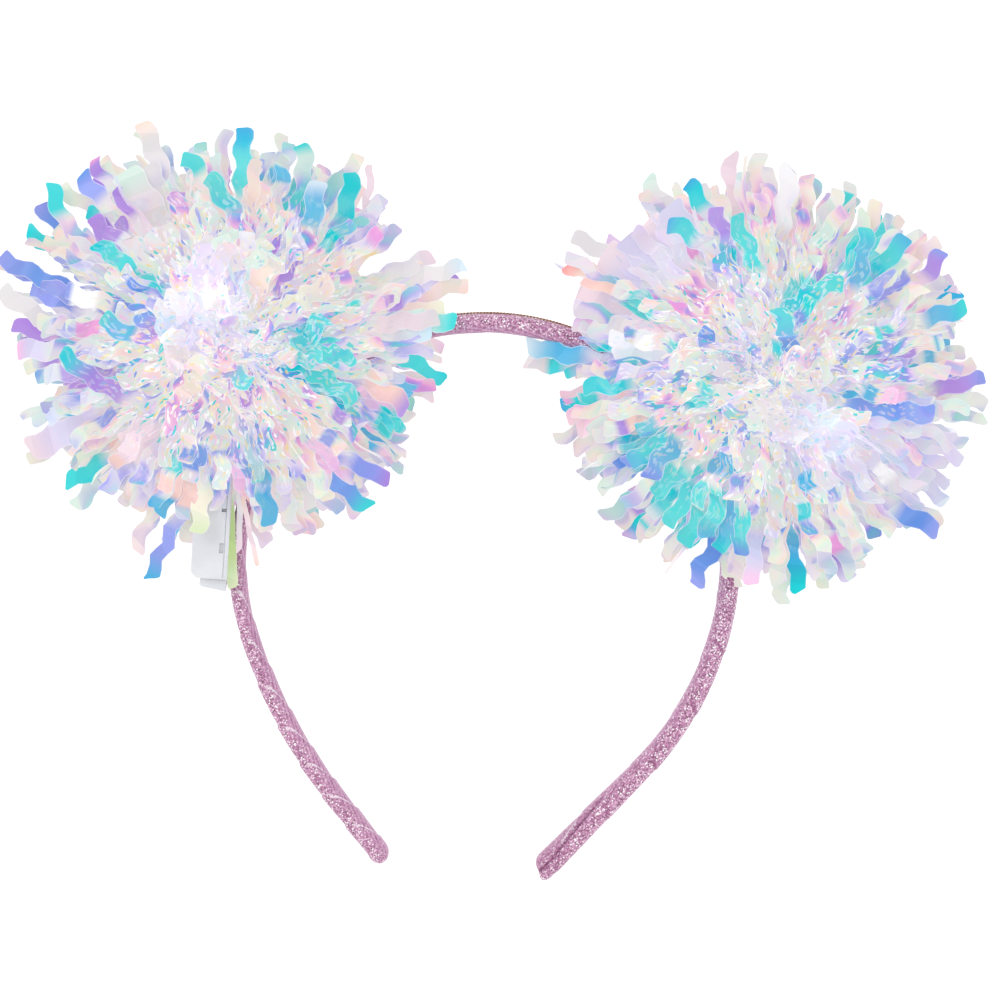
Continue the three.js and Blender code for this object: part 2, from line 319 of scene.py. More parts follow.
# from the band's own plane (x, y, forward of it) to the frame: the plane leans up towards the crown
def bandPlane(settings, x, y, forward):
    lean = math.radians(settings["lean"])
    worldY = settings["endLineY"] + y * math.cos(lean) - forward * math.sin(lean)
    worldZ = settings["endLineHeight"] + y * math.sin(lean) + forward * math.cos(lean)
    return np.stack([x, worldY, worldZ], axis=-1)


# share of a turn that the ribbon's edge has made at each angle: the running sum of an even slope and a bell
# curve round one angle, scaled so that a full circle makes one turn and counted from the front
def ribbonSlant(settings, angle):
    fine = np.linspace(-math.pi / 2, 1.5 * math.pi, settings["slantSteps"])
    bell = np.exp(settings["slantFocus"] * (np.cos(fine - settings["slantAngle"]) - 1))
    slope = 1 + settings["slantGain"] * (bell - bell[:-1].mean())
    made = np.concatenate([[0], np.cumsum((slope[1:] + slope[:-1]) / 2)])
    made = made / made[-1]
    return np.interp(angle, fine, made) - np.interp(math.pi / 2, fine, made) + settings["frontShare"]


# superellipse sections along the route, drawn in at the ends as quarter circles; each turn of ribbon
# stands proud at its edge and falls away under the next, and the right end has a lengthwise fold that
# starts at the inner edge and comes to the middle at the tip
def bandSurface(settings):
    total = sum(row["length"] for row in settings["route"])
    rounding = settings["endRounding"]
    count = int((total - 2 * rounding) / settings["ringStep"])
    swept = np.linspace(settings["endAngle"], math.pi / 2, settings["endRings"], endpoint=False)
    quarter = 1 - np.cos(swept)
    along = np.concatenate([quarter * rounding, np.linspace(rounding, total - rounding, count),
                            total - (quarter * rounding)[::-1]])[:, None]
    sides = settings["sides"]
    angle = np.linspace(-math.pi / 2, 1.5 * math.pi, sides, endpoint=False)[None, :]
    rows = settings["sections"]
    marks = [row["along"] for row in rows]
    thick = np.interp(along, marks, [row["thick"] for row in rows])
    deep = np.interp(along, marks, [row["deep"] for row in rows])
    fromTip = total - along
    fromEnd = np.minimum(np.minimum(along, fromTip) / rounding, 1)
    fullness = np.sqrt(1 - (1 - fromEnd) ** 2)
    power = 2 / settings["sectionPower"]
    across = np.sign(np.cos(angle)) * np.abs(np.cos(angle)) ** power
    forward = np.sign(np.sin(angle)) * np.abs(np.sin(angle)) ** power
    pitch = np.interp(along, *np.transpose(settings["turnPitches"]))
    gap = np.diff(along, axis=0, prepend=along[:1])
    slanted = ribbonSlant(settings, angle)
    turn = settings["turnStart"] + np.cumsum(gap / pitch, axis=0) + slanted
    share = turn % 1
    laps = settings["ribbonLap"] + settings["leftLap"] * ease(*settings["leftLapTo"], along)
    proud = laps * fullness * ease(*settings["lapFrom"], along)
    lap = proud * (share - ease(1 - settings["lapRun"] / pitch, 1, share))
    fold = ease(settings["foldLength"], settings["foldFull"] * settings["foldLength"], fromTip)
    swing = (fromTip / settings["foldLength"]) ** settings["foldCurve"]
    foldAngle = settings["foldAngle"] + settings["foldSweep"] * swing
    crease = fold * np.exp(-((angle - foldAngle) / settings["foldWidth"]) ** 2)
    inset = lap - settings["lapRest"] * proud - settings["foldDepth"] * crease * fullness
    nearTip = ease(settings["rightTip"], 0, fromTip)
    dip = np.exp(-((angle - foldAngle) / settings["notchWidth"]) ** 2)
    notch = settings["foldNotch"] * dip * nearTip * fullness ** settings["notchCurve"]
    outer = ease(*settings["outerSide"], across * fullness)
    leftPush = settings["leftLobe"] * (across * fullness + 1) / 2 * ease(settings["leftTip"], 0, along)
    place = along - notch + outer * settings["rightLobe"] * nearTip - leftPush
    x, y, heading = bandCourse(settings, place)
    out = across * (thick / 2 * fullness + inset)
    points = bandPlane(settings, x - out * np.sin(heading), y + out * np.cos(heading),
                       forward * (deep / 2 * fullness + inset))
    rings = len(along)
    hubs = np.stack([points[0].mean(axis=0), points[-1].mean(axis=0)])
    first = np.arange(sides)
    last = first + (rings - 1) * sides
    startFan = np.stack([np.full(sides, rings * sides), np.roll(first, -1), first], axis=-1)
    endFan = np.stack([np.full(sides, rings * sides + 1), last, np.roll(last, -1)], axis=-1)
    quads = gridQuads(rings, sides, True)
    fans = np.concatenate([startFan, endFan])
    girth = (thick + deep) / 4
    uv = np.stack(np.broadcast_arrays(turn, angle * girth), axis=-1).reshape(-1, 2)
    uv = np.concatenate([uv, uv[:1], uv[-1:]])
    quadUv = uv[quads]
    seam = quads[:, 0] % sides == sides - 1
    quadUv[seam, 1:3] += [1, 2 * math.pi * girth.mean()]
    cornerUv = np.concatenate([quadUv.reshape(-1, 2), uv[fans].reshape(-1, 2)])
    inner = ease(*settings["innerSide"], across)
    leftLeg = ease(*settings["leftLeg"], along)
    rightLeg = ease(*settings["rightLeg"], along)
    foldLobe = fold * ease(foldAngle, foldAngle + settings["lobeEdge"], angle)
    least = settings["glitterLeast"]
    stitched = inner * leftLeg * ease(*settings["stitchFrom"], along)
    # painted shade and shadow: the crease weight darkens the fold at the right tip and its lobe, and the
    # last weight draws dark lines at the edges of the turns on the right leg
    weights = {
        "glitter": least + (1 - least) * ease(*settings["glitterSide"], across) + 0 * along,
        "crease": np.maximum(crease, settings["foldShade"] * foldLobe),
        "stitch": np.clip(stitched + foldLobe, 0, 1),
        "paintedShadow": rightLeg * (1 - foldLobe) + 0 * angle,
    }
    weights["glitter"] = np.clip(weights["glitter"] + settings["glitterRight"] * rightLeg, 0, 1)
    values = {key: np.concatenate([numbers.ravel(), numbers[[0, -1], 0]])
              for key, numbers in weights.items()}
    return np.concatenate([points.reshape(-1, 3), hubs]), [quads, fans], cornerUv, values


glitterRibbon = {
    # dots of foil with their own tones drawn at random; the white at the top is a painted glint
    "speckles": [
        (0.0, "#7C5069"), (0.13, "#A56A91"), (0.38, "#BF86AA"), (0.66, "#D4A8C4"), (0.86, "#EED6E4"),
        (0.95, "#FFFFFF")],
    "weave": [(0.15, "#96608A"), (0.5, "#BD85AA"), (0.85, "#D2A5C2")],
    "selvedge": "#EBDAE5",
    # painted shade: the dark colour of the fold and of the shadow lines at the edges of the turns
    "paintedShadow": "#8A3F72",
    "flakeSize": 0.36,         # mm; the real foil dots are finer, drawn coarser so that they show
    "flakeTurn": 0.6,
    "ribSpacing": 0.95,        # mm between threads, drawn coarser so that they show
    "ribDrift": 2.4,           # mm that a thread drifts round the band over one turn of ribbon
    "ribPart": 0.5,
    "meanPitch": 12.0,
    "stitchGaps": 0.25,
    "edgeWidth": 0.85,
    "shadowLineWidth": 0.5,
    "lineCore": 0.4,           # share of a line's width that is solid
    "paintedShadeDepth": 0.6,
    "bump": 0.5,
    "bumpDepth": 0.12,         # mm
    "rough": 0.42,
}


# woven ribbon with foil glitter: a soft mauve cloth with fine threads that shows more on the inner side,
# dark and bright dots of foil that show more on the outer side, the whitest of them painted glints, a
# stitched pale selvedge at each turn, painted shade in the fold at the right tip and painted shadow lines
# at the edges of the turns on the right leg
def wovenGlitterRibbon(settings):
    material, tree = startMaterial("wovenGlitterRibbon")
    weight = {key: addNode(tree, "ShaderNodeAttribute", attribute_name=key).outputs["Fac"]
              for key in ("glitter", "crease", "stitch", "paintedShadow")}
    surface = addNode(tree, "ShaderNodeUVMap", uv_map="surface")
    wound = addNode(tree, "ShaderNodeSeparateXYZ", fed={"Vector": surface.outputs["UV"]})
    place = addNode(tree, "ShaderNodeTexCoord")
    turned = addNode(tree, "ShaderNodeMapping", fed={"Vector": place.outputs["Object"]}, plain={
        "Rotation": (0, 0, settings["flakeTurn"]), "Scale": [1 / (settings["flakeSize"] * millimetre)] * 3})
    cells = addNode(tree, "ShaderNodeVectorMath", operation="FLOOR", fed={0: turned.outputs["Vector"]})
    dots = addNode(tree, "ShaderNodeTexWhiteNoise", noise_dimensions="3D", fed={"Vector": cells.outputs[0]})
    tone = addNode(tree, "ShaderNodeSeparateColor", fed={"Color": dots.outputs["Color"]})
    speckle = addNode(tree, "ShaderNodeValToRGB", fed={"Fac": tone.outputs["Red"]})
    fillRamp(speckle.color_ramp, settings["speckles"])
    speckle.color_ramp.interpolation = "CONSTANT"
    across = addNode(tree, "ShaderNodeMath", operation="FRACT", fed={0: wound.outputs["X"]})
    drifted = addNode(tree, "ShaderNodeMath", operation="MULTIPLY_ADD", plain={1: -settings["ribDrift"]},
                      fed={0: across.outputs[0], 2: wound.outputs["Y"]})
    weft = addNode(tree, "ShaderNodeMath", operation="MULTIPLY", fed={0: drifted.outputs[0]},
                   plain={1: 2 * math.pi / settings["ribSpacing"]})
    ribs = addNode(tree, "ShaderNodeMath", operation="SINE", fed={0: weft.outputs[0]})
    ribTone = addNode(tree, "ShaderNodeMapRange", plain={1: -1.0, 2: 1.0}, fed={0: ribs.outputs[0]})
    level = addNode(tree, "ShaderNodeMix", plain={0: 1 - settings["ribPart"]},
                    fed={2: ribTone.outputs[0], 3: tone.outputs["Blue"]})
    weave = addNode(tree, "ShaderNodeValToRGB", fed={"Fac": level.outputs[0]})
    fillRamp(weave.color_ramp, settings["weave"])
    cloth = addNode(tree, "ShaderNodeMix", data_type="RGBA",
                    fed={0: weight["glitter"], 6: weave.outputs["Color"], 7: speckle.outputs["Color"]})
    fromEdge = addNode(tree, "ShaderNodeMath", operation="PINGPONG", plain={1: 0.5},
                       fed={0: wound.outputs["X"]})
    lines = {}
    for key, width in (("stitch", settings["edgeWidth"]), ("paintedShadow", settings["shadowLineWidth"])):
        reach = width / settings["meanPitch"]
        line = addNode(tree, "ShaderNodeMapRange", interpolation_type="SMOOTHSTEP",
                       plain={1: settings["lineCore"] * reach, 2: reach, 3: 1.0, 4: 0.0},
                       fed={0: fromEdge.outputs[0]})
        lines[key] = addNode(tree, "ShaderNodeMath", operation="MULTIPLY",
                             fed={0: line.outputs[0], 1: weight[key]})
    gate = addNode(tree, "ShaderNodeMath", operation="GREATER_THAN", plain={1: settings["stitchGaps"]},
                   fed={0: tone.outputs["Green"]})
    stitch = addNode(tree, "ShaderNodeMath", operation="MULTIPLY",
                     fed={0: lines["stitch"].outputs[0], 1: gate.outputs[0]})
    edged = addNode(tree, "ShaderNodeMix", data_type="RGBA", plain={7: linearColour(settings["selvedge"])},
                    fed={0: stitch.outputs[0], 6: cloth.outputs[2]})
    # painted shade in the fold and painted shadow lines at the edges of the turns
    shadeAmount = addNode(tree, "ShaderNodeMath", operation="MAXIMUM",
                   fed={0: lines["paintedShadow"].outputs[0], 1: weight["crease"]})
    depth = addNode(tree, "ShaderNodeMath", operation="MULTIPLY", plain={1: settings["paintedShadeDepth"]},
                    fed={0: shadeAmount.outputs[0]})
    shadedCloth = addNode(tree, "ShaderNodeMix", data_type="RGBA", plain={7: linearColour(settings["paintedShadow"])},
                     fed={0: depth.outputs[0], 6: edged.outputs[2]})
    bump = addNode(tree, "ShaderNodeBump", fed={"Height": tone.outputs["Green"]}, plain={
        "Strength": settings["bump"], "Distance": settings["bumpDepth"] * millimetre})
    ribbon = addNode(tree, "ShaderNodeBsdfPrincipled",
                     plain={"Roughness": settings["rough"], "IOR": plasticIor},
                     fed={"Base Color": shadedCloth.outputs[2], "Normal": bump.outputs["Normal"]})
    addNode(tree, "ShaderNodeOutputMaterial", fed={"Surface": ribbon.outputs[0]})
    return material


bandPoints, bandFaces, bandUv, bandValues = bandSurface(ribbonBand)
ribbonMaterial = wovenGlitterRibbon(glitterRibbon)
band = makePiece("headband_ribbon", bandPoints, bandFaces, ribbonMaterial, uv=bandUv,
                 values=bandValues)
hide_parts("headband")
print("band wound:", len(bandPoints), "points")

# Light beads: clear resin drops on the wire, lit
lightBead = {
    "radius": 1.7,
    "length": 6.4,
    "steps": 24,
    "sides": 24,
    "glow": 1.6,
    "watts": 0.0002,
    "lampLift": 6.0,
    "lampSize": 3.0,
    "lampColour": "#E4DCFF",
    "resinColour": "#F4F2FF",
    "glowColour": "#EFEAFF",
    "rough": 0.12,
    "leastWaist": 0.02,        # share of the radius at the very ends, so that the rings stay open
    "beads": [
        {"side": "left", "x": -77.6, "y": 55.336, "z": 50.0, "heading": 60.0, "lit": 1.0},
        {"side": "right", "x": 87.9, "y": 17.536, "z": 42.0, "heading": -20.0, "lit": 0.6},
    ],
}


# a straight tube with half-round ends, turned about its own level axis
def beadSurface(settings, bead):
    turn = np.linspace(-math.pi / 2, math.pi / 2, settings["steps"])[:, None]
    angle = np.linspace(0, 2 * math.pi, settings["sides"], endpoint=False)[None, :]
    straight = settings["length"] / 2 - settings["radius"]
    along = settings["radius"] * np.sin(turn) + straight * np.sign(turn) + 0 * angle
    waist = settings["radius"] * np.maximum(np.cos(turn), settings["leastWaist"])
    heading = math.radians(bead["heading"])
    side = waist * np.cos(angle)
    up = waist * np.sin(angle)
    x = bead["x"] + along * math.cos(heading) - side * math.sin(heading)
    y = bead["y"] + along * math.sin(heading) + side * math.cos(heading)
    return np.stack([x, y, bead["z"] + up], axis=-1)


# cast resin, lit from inside: a bright cool drop
def litCastResin(settings):
    material, tree = startMaterial("litCastResin")
    resin = addNode(tree, "ShaderNodeBsdfPrincipled", plain={
        "Base Color": linearColour(settings["resinColour"]), "Roughness": settings["rough"],
        "IOR": plasticIor, "Emission Color": linearColour(settings["glowColour"]),
        "Emission Strength": settings["glow"]})
    addNode(tree, "ShaderNodeOutputMaterial", fed={"Surface": resin.outputs[0]})
    return material


beadResin = litCastResin(lightBead)
for bead in lightBead["beads"]:
    grid = beadSurface(lightBead, bead)
    steps, sides = grid.shape[:2]
    caps = np.stack([np.arange(sides)[::-1], np.arange(sides) + (steps - 1) * sides])
    beadFaces = [gridQuads(steps, sides, True), caps]
    piece = makePiece("light_bead_" + bead["side"], grid.reshape(-1, 3), beadFaces, beadResin)
    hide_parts("led_" + bead["side"])
    glow = bpy.data.lights.new("bead_light_" + bead["side"], "POINT")
    glow.energy = lightBead["watts"] * bead["lit"]
    glow.color = linearColour(lightBead["lampColour"])[:3]
    glow.shadow_soft_size = lightBead["lampSize"] * millimetre
    holder = bpy.data.objects.new("bead_light_" + bead["side"], glow)
    holder.location = np.array([bead["x"], bead["y"], bead["z"] + lightBead["lampLift"]]) * millimetre
    bpy.context.scene.collection.objects.link(holder)
print("beads lit")

# Tinsel balls: some hundreds of wavy strips of iridescent film tied at a core
filmTints = {
    "oyster": "#E7E2E4", "rose": "#F3DCE6", "mint": "#D4EDE2", "lilac": "#DED7F4", "peach": "#F6DCD0",
    "lemon": "#EEEDD5", "ice": "#D3E8F5", "white": "#F8F7FA", "teal": "#06D6D8", "azure": "#37B2DF",
    "blue": "#5F93E6", "periwinkle": "#8C9AEA", "violet": "#AE88E0", "pink": "#F0A0DC", "coral": "#FFA6A2",
    "lime": "#BCD98C", "paleLime": "#DCEABC", "gold": "#F8DDA0", "apricot": "#FFD0C6", "lagoon": "#0EBCD0",
    # painted glints: pure white and pale yellow; pale pink is a glint in the facets and an ordinary colour
    # elsewhere
    "glint": "#FFFFFF", "sun": "#FFF3BE", "blush": "#FFC9EC",
}
tintNames = list(filmTints)
tintColours = np.array([linearColour(filmTints[name])[:3] for name in tintNames])

tinselBall = {
    "coreHeight": 23.0,
    "coreRadius": 5.0,
    "strips": 400,
    "reach": 52.0,
    "reachSpread": 2.5,
    "reachLimits": (44, 57),
    "crownShare": 0.93,
    "lowestRise": -38.0,
    "riseSpread": 0.05,        # radians, as are the other rises, bearings and turns
    "bearingSpread": 0.06,
    "rimStrips": 96,
    "rimReach": (51.5, 57.0),
    "rimRise": (-0.15, 0.35),
    "tipRise": (-0.12, 0.2),
    "gapRise": 1.2,            # steepest rise that counts where a gap in the outline shortens strips
    "clearance": 4.2,          # mm kept free of loose strips on both sides of a listed one
    "clearFrom": 12,
    "clearShare": 0.9,
    "clearRise": -0.1,
    "rootShare": (0.2, 1.0),
    "steepRise": (0.7, 1.3),   # a strip between these counts more and more as a crushed one on top
    "steepRoot": 4.5,
    "tipScatter": 1.0,
    "steepTip": (6, 6, 1),
    "bendScatter": 2.2,
    "steepBend": 1.5,
    "bendLift": 3.0,
    "droop": 6.0,
    "droopRise": 1.4,
    "leanSpread": 0.12,
    "steepLean": 0.9,
    "edgeOnPart": 0.16,
    "edgeOnTwist": (0.8, 1.25),
    "twistSpread": 0.3,
    "turnSpread": 0.5,
    "chartTwist": 0.15,
    "chartTurn": 0.2,
    "chartWidth": 1.1,
    "chartShow": (0.3, 0.8),   # limits of the share of its length where a placed strip comes into view
    "chartLift": 3.0,
    "chartRoot": 0.05,
    "domeSpare": 6.0,
    "coreTint": "oyster",
    "lowest": (0.3, 6.0),      # mm above the surface; a strip hangs no lower than a height between these
    "cutSlant": 0.35,
    "waveFrom": (0.1, 0.4),    # shares of the length between which the wave, and the full width, set in
    "wideFrom": (0.05, 0.45),
    "rootWidth": 0.3,
    "cutFrom": 0.95,
    "tipWidths": (1, 0.9, 0.6),
    "stripWidth": (4.0, 4.9),
    "filmThickness": 0.1,
    "waveLength": (8.0, 9.6),
    "waveDepth": (0.5, 0.85),
    "curlLength": (13.0, 22.0),
    "curlDepth": 0.9,
    "coarseSteps": 3,
    "fineSteps": 17,
    "finesFrom": 0.46,
    "heartGlow": 0.06,         # light of the beads that spreads through the middle of the ball
    "tipRounding": 0.02,       # share of the strip over which its corners are rounded
    "pearlOrder": ["ice", "mint", "lemon", "oyster", "peach", "rose", "lilac"],
    "brightShares": {
        "teal": 0.30, "azure": 0.16, "blue": 0.12, "periwinkle": 0.16, "violet": 0.14, "pink": 0.12},
    "brightPart": 0.06,
    "stretchPart": 0.14,       # share of the strips with a short stretch of one clear colour
    "stretchHalf": (0.05, 0.12),
    "stretchMiddle": (0.45, 0.97),
    "stretchEdge": 0.012,
    "stretchHold": 0.85,       # how far a stretch, patch or placed tint holds back the film's own colours
    "patchHold": 0.8,
    "patchEdge": (0.75, 1.1),
    "patchTaken": 0.85,
    "placedHold": 0.7,
    "ownSlick": 0.85,
    "shadeSpread": 0.02,
    "looseStart": 0.35,
    "looseShown": (0.1, 0.5),
    "placedShown": (-0.08, 0.02),
    "pearlDrift": (0.3, 0.18),
    "pearlSpread": 0.15,
    "rimSlick": 0.55,          # share of the film's own colours that is lost at the rim, over this range
    "rimFade": (0.8, 1.1),
    "creaseFade": (0.5, 1.0),
    "heartFade": (0.15, 0.9),
    "stripApart": 131.0,       # mm between the strips' own stretches of the film
    "balls": [                 # gaps: bearing, half width and reach; tips: bearing and reach
        {"side": "left", "x": -72.2, "y": 44.0, "pearlTurn": 2.2,
         "gaps": [(26.5, 6.5, 38.0), (264.0, 6.0, 45.0)], "tips": [
            (0, 57.5), (18, 66.2), (34, 54.5), (51, 61.6), (69, 55.4), (87, 57.2), (112, 63.5), (128, 60.5),
            (140, 62.1), (152, 61.8), (158, 66.4), (168, 63.5), (180, 58.6), (195, 60.8), (209, 62.9),
            (225, 60.2), (245, 62.1), (252, 67.5), (289, 55.4), (308, 57.8), (324, 59.1), (341, 56.4),
            (351, 58.0)]},
        {"side": "right", "x": 72.2, "y": 34.3, "pearlTurn": 5.1, "gaps": [], "tips": [
            (174, 65.6), (154, 65.6), (144, 63.7), (122, 61.6), (101, 61.3), (93, 60.2), (78, 58.0),
            (56, 56.4), (35, 56.4), (19, 56.4), (-2, 61.6), (-18, 54.8), (-33, 58.6), (-42, 61.6),
            (-66, 59.4), (-82, 57.8), (-87, 62.6), (-96, 56.2), (-111, 58.3), (-128, 57.5),
            (-150, 59.9), (-166, 58.9)]},
    ],
}


# places along a strip as shares of its length: few near the core, many where it shows, three at the tip
def stripStations(settings):
    coarse = np.linspace(0, settings["finesFrom"], settings["coarseSteps"], endpoint=False)
    rounding = settings["tipRounding"]
    fine = np.linspace(settings["finesFrom"], 1 - rounding, settings["fineSteps"])
    return np.concatenate([coarse, fine, [1 - rounding / 3, 1.0]])


# rings of three points (left edge, right edge, and just under the middle) along a quadratic curve; the
# middle swings from side to side as a sine, lifts and falls as a slower sine, and the strip turns evenly
def stripSurface(settings, strips):
    stations = stripStations(settings)
    t = stations[None, :, None]
    root, bend, tip = (strips[key][:, None, :] for key in ("root", "bend", "tip"))
    path = (1 - t) ** 2 * root + 2 * t * (1 - t) * bend + t ** 2 * tip
    tangent = unit((1 - t) * (bend - root) + t * (tip - bend))
    steps = np.linalg.norm(np.diff(path, axis=1, prepend=path[:, :1]), axis=-1)
    run = np.cumsum(steps, axis=1)[..., None]
    side = unit(np.cross(tangent, strips["hint"][:, None, :]))
    normal = np.cross(side, tangent)
    column = {key: strips[key][:, None, None] for key in (
        "width", "waveLength", "waveDepth", "wavePhase", "curlLength", "curlDepth", "curlPhase", "twist",
        "turn", "floor", "cut")}
    turn = column["twist"] + column["turn"] * t
    side, normal = side * np.cos(turn) + normal * np.sin(turn), normal * np.cos(turn) - side * np.sin(turn)
    wave = column["waveDepth"] * np.sin(2 * math.pi * run / column["waveLength"] + column["wavePhase"])
    curl = column["curlDepth"] * np.sin(2 * math.pi * run / column["curlLength"] + column["curlPhase"]) * t
    middle = path + side * wave * ease(*settings["waveFrom"], t) + normal * curl
    rounding = settings["tipRounding"]
    rounded = np.interp(t, [1 - rounding, 1 - rounding / 3, 1], settings["tipWidths"])
    narrow = settings["rootWidth"]
    half = column["width"] / 2 * (narrow + (1 - narrow) * ease(*settings["wideFrom"], t)) * rounded
    slant = tangent * column["cut"] * np.interp(t, [settings["cutFrom"], 1], [0, 1])
    left = middle - side * half + slant
    right = middle + side * half - slant
    points = np.stack([left, right, middle - normal * settings["filmThickness"]], axis=2)
    points[..., 2] = np.maximum(points[..., 2], column["floor"])
    return points, stations, run[..., 0]


# faces of all strips: each strip's rings joined in turn, with a small triangle at both ends
def stripFaces(count, rings):
    quads = gridQuads(rings, 3, True)
    ends = np.array([[0, 2, 1], [rings * 3 - 3, rings * 3 - 2, rings * 3 - 1]])
    start = (np.arange(count) * rings * 3)[:, None, None]
    return [(quads[None] + start).reshape(-1, 4), (ends[None] + start).reshape(-1, 3)]


# directions spread evenly over the ball by the golden angle, from below the level up to the top, then
# the strips of the rim: the long ones at their own bearings and the rest between them
def looseStrips(settings, ball, charted):
    count = settings["strips"]
    order = (np.arange(count) + 0.5) / count
    low = math.sin(math.radians(settings["lowestRise"]))
    rise = np.arcsin(low + (1 - low) * order) + random.normal(0, settings["riseSpread"], count)
    golden = math.pi * (3 - math.sqrt(5))
    bearing = np.arange(count) * golden + random.normal(0, settings["bearingSpread"], count)
    reach = random.normal(settings["reach"], settings["reachSpread"], count)
    reach = np.clip(reach, *settings["reachLimits"])
    tips = np.array(ball["tips"])
    extra = settings["rimStrips"]
    rimBearing = (np.arange(extra) + random.uniform(0, 1, extra)) * 2 * math.pi / extra
    bearing = np.concatenate([bearing, np.radians(tips[:, 0]), rimBearing])
    reach = np.concatenate([reach, tips[:, 1], random.uniform(*settings["rimReach"], extra)])
    rise = np.concatenate([rise, random.uniform(*settings["tipRise"], len(tips)),
                           random.uniform(*settings["rimRise"], extra)])
    count = len(bearing)
    placed = np.isin(np.arange(count), settings["strips"] + np.arange(len(tips)))
    for gapBearing, halfWidth, limit in ball["gaps"]:
        apart = (np.degrees(bearing) - gapBearing + 180) % 360 - 180
        inGap = (np.abs(apart) < halfWidth) & ~placed
        short = limit / np.cos(np.minimum(rise, settings["gapRise"]))
        reach = np.where(inGap, np.minimum(reach, short), reach)
    flat = reach * np.cos(rise)
    for row in charted:
        centreBearing = math.atan2(row["toY"] + row["fromY"], row["toX"] + row["fromX"])
        start = math.hypot(row["fromX"], row["fromY"])
        apart = (bearing - centreBearing + math.pi) % (2 * math.pi) - math.pi
        clear = settings["clearance"] / np.maximum(flat, settings["clearFrom"])
        passing = (flat > start * settings["clearShare"]) & (rise > settings["clearRise"])
        near = (np.abs(apart) < clear) & passing
        bearing = np.where(near, centreBearing + np.where(apart < 0, -clear, clear), bearing)
    heading = np.stack([np.cos(rise) * np.cos(bearing), np.cos(rise) * np.sin(bearing),
                        np.sin(rise) * settings["crownShare"]], axis=-1)
    core = np.array([ball["x"], ball["y"], settings["coreHeight"]])
    root = core + heading * settings["coreRadius"] * random.uniform(*settings["rootShare"], (count, 1))
    steep = ease(*settings["steepRise"], rise)[:, None]
    root = root + random.normal(0, settings["steepRoot"], (count, 3)) * steep * [1, 1, 0]
    scatter = settings["tipScatter"] + steep * settings["steepTip"]
    tip = core + heading * reach[:, None] + random.normal(0, 1, (count, 3)) * scatter
    loose = random.normal(0, settings["bendScatter"], (count, 3)) * (1 + settings["steepBend"] * steep)
    bend = (root + tip) / 2 + loose
    droop = settings["droop"] * np.sin(2 * np.clip(rise, 0, settings["droopRise"]))
    bend[:, 2] += settings["bendLift"] + droop
    tip[:, 2] -= droop
    up = np.array([0.0, 0.0, 1.0])
    lean = settings["leanSpread"] + settings["steepLean"] * steep
    hint = unit(up + random.normal(0, 1, (count, 3)) * lean)
    edgeOn = random.random(count) < settings["edgeOnPart"]
    twist = np.where(edgeOn, random.uniform(*settings["edgeOnTwist"], count),
                     random.normal(0, settings["twistSpread"], count))
    pearl = pearlTints(settings, ball, bearing, rise)
    brights = random.choice(len(tintNames), count, p=tintChances(settings["brightShares"]))
    bright = random.random(count) < settings["brightPart"]
    tints = np.where(bright[:, None, None], tintColours[brights][:, None], pearl)
    return {"root": root, "bend": bend, "tip": tip, "hint": hint, "tints": tints, "twist": twist,
            "turn": random.normal(0, settings["turnSpread"], count)}


# pearly tints that drift slowly round the ball: a place on the ordered list from two sines of the bearing,
# drawn anew for the root, the middle and the tip of each strip
def pearlTints(settings, ball, bearing, rise):
    stops = np.array([linearColour(filmTints[name])[:3] for name in settings["pearlOrder"]])
    once, thrice = settings["pearlDrift"]
    drift = 0.5 + once * np.sin(bearing + ball["pearlTurn"]) + thrice * np.sin(3 * bearing + 2 * rise)
    stray = random.normal(0, settings["pearlSpread"], (len(bearing), 3))
    place = np.clip(drift[:, None] + stray, 0, 1) * (len(stops) - 1)
    marks = np.arange(len(stops))
    return np.stack([np.interp(place, marks, stops[:, channel]) for channel in range(3)], axis=-1)


# chances of the tints in the order of their names
def tintChances(shares):
    chances = np.array([shares.get(name, 0.0) for name in tintNames])
    return chances / chances.sum()


# listed strips: each runs from the core under its neighbours, shows between two places that are given in
# millimetres from the middle of the ball, and ends at the second, at a given height or on the dome
def chartedStrips(settings, ball, rows):
    core = np.array([ball["x"], ball["y"], settings["coreHeight"]])
    seen = np.array([[row["fromX"], row["fromY"]] for row in rows])
    ends = np.array([[row["toX"], row["toY"]] for row in rows])
    flat = np.linalg.norm(ends, axis=-1)
    start = np.linalg.norm(seen, axis=-1)
    crown = settings["reach"] * settings["crownShare"]
    spread = settings["reach"] + settings["domeSpare"]
    dome = crown * np.sqrt(np.maximum(1 - (flat / spread) ** 2, 0)) + settings["chartLift"]
    height = np.array([row.get("height", level + core[2]) for row, level in zip(rows, dome)]) - core[2]
    tip = core + np.concatenate([ends, height[:, None]], axis=-1)
    share = np.clip(start / np.maximum(flat, 1), *settings["chartShow"])[:, None]
    through = core + np.concatenate([seen, height[:, None] * share + settings["chartLift"]], axis=-1)
    root = core + (tip - core) * settings["chartRoot"]
    bend = (through - (1 - share) ** 2 * root - share ** 2 * tip) / (2 * share * (1 - share))
    count = len(rows)
    names = [(settings["coreTint"], *row["tint"]) for row in rows]
    picked = np.array([[tintNames.index(name) for name in trio] for trio in names])
    return {"root": root, "bend": bend, "tip": tip, "tints": tintColours[picked], "tintFrom": share[:, 0],
            "hint": np.tile([0.0, 0.0, 1.0], (count, 1)),
            "twist": random.normal(0, settings["chartTwist"], count),
            "turn": random.normal(0, settings["chartTurn"], count),
            "widthShare": settings["chartWidth"] * np.array([row.get("width", 1.0) for row in rows]),
            "waveShare": np.array([row.get("wave", 1.0) for row in rows])}


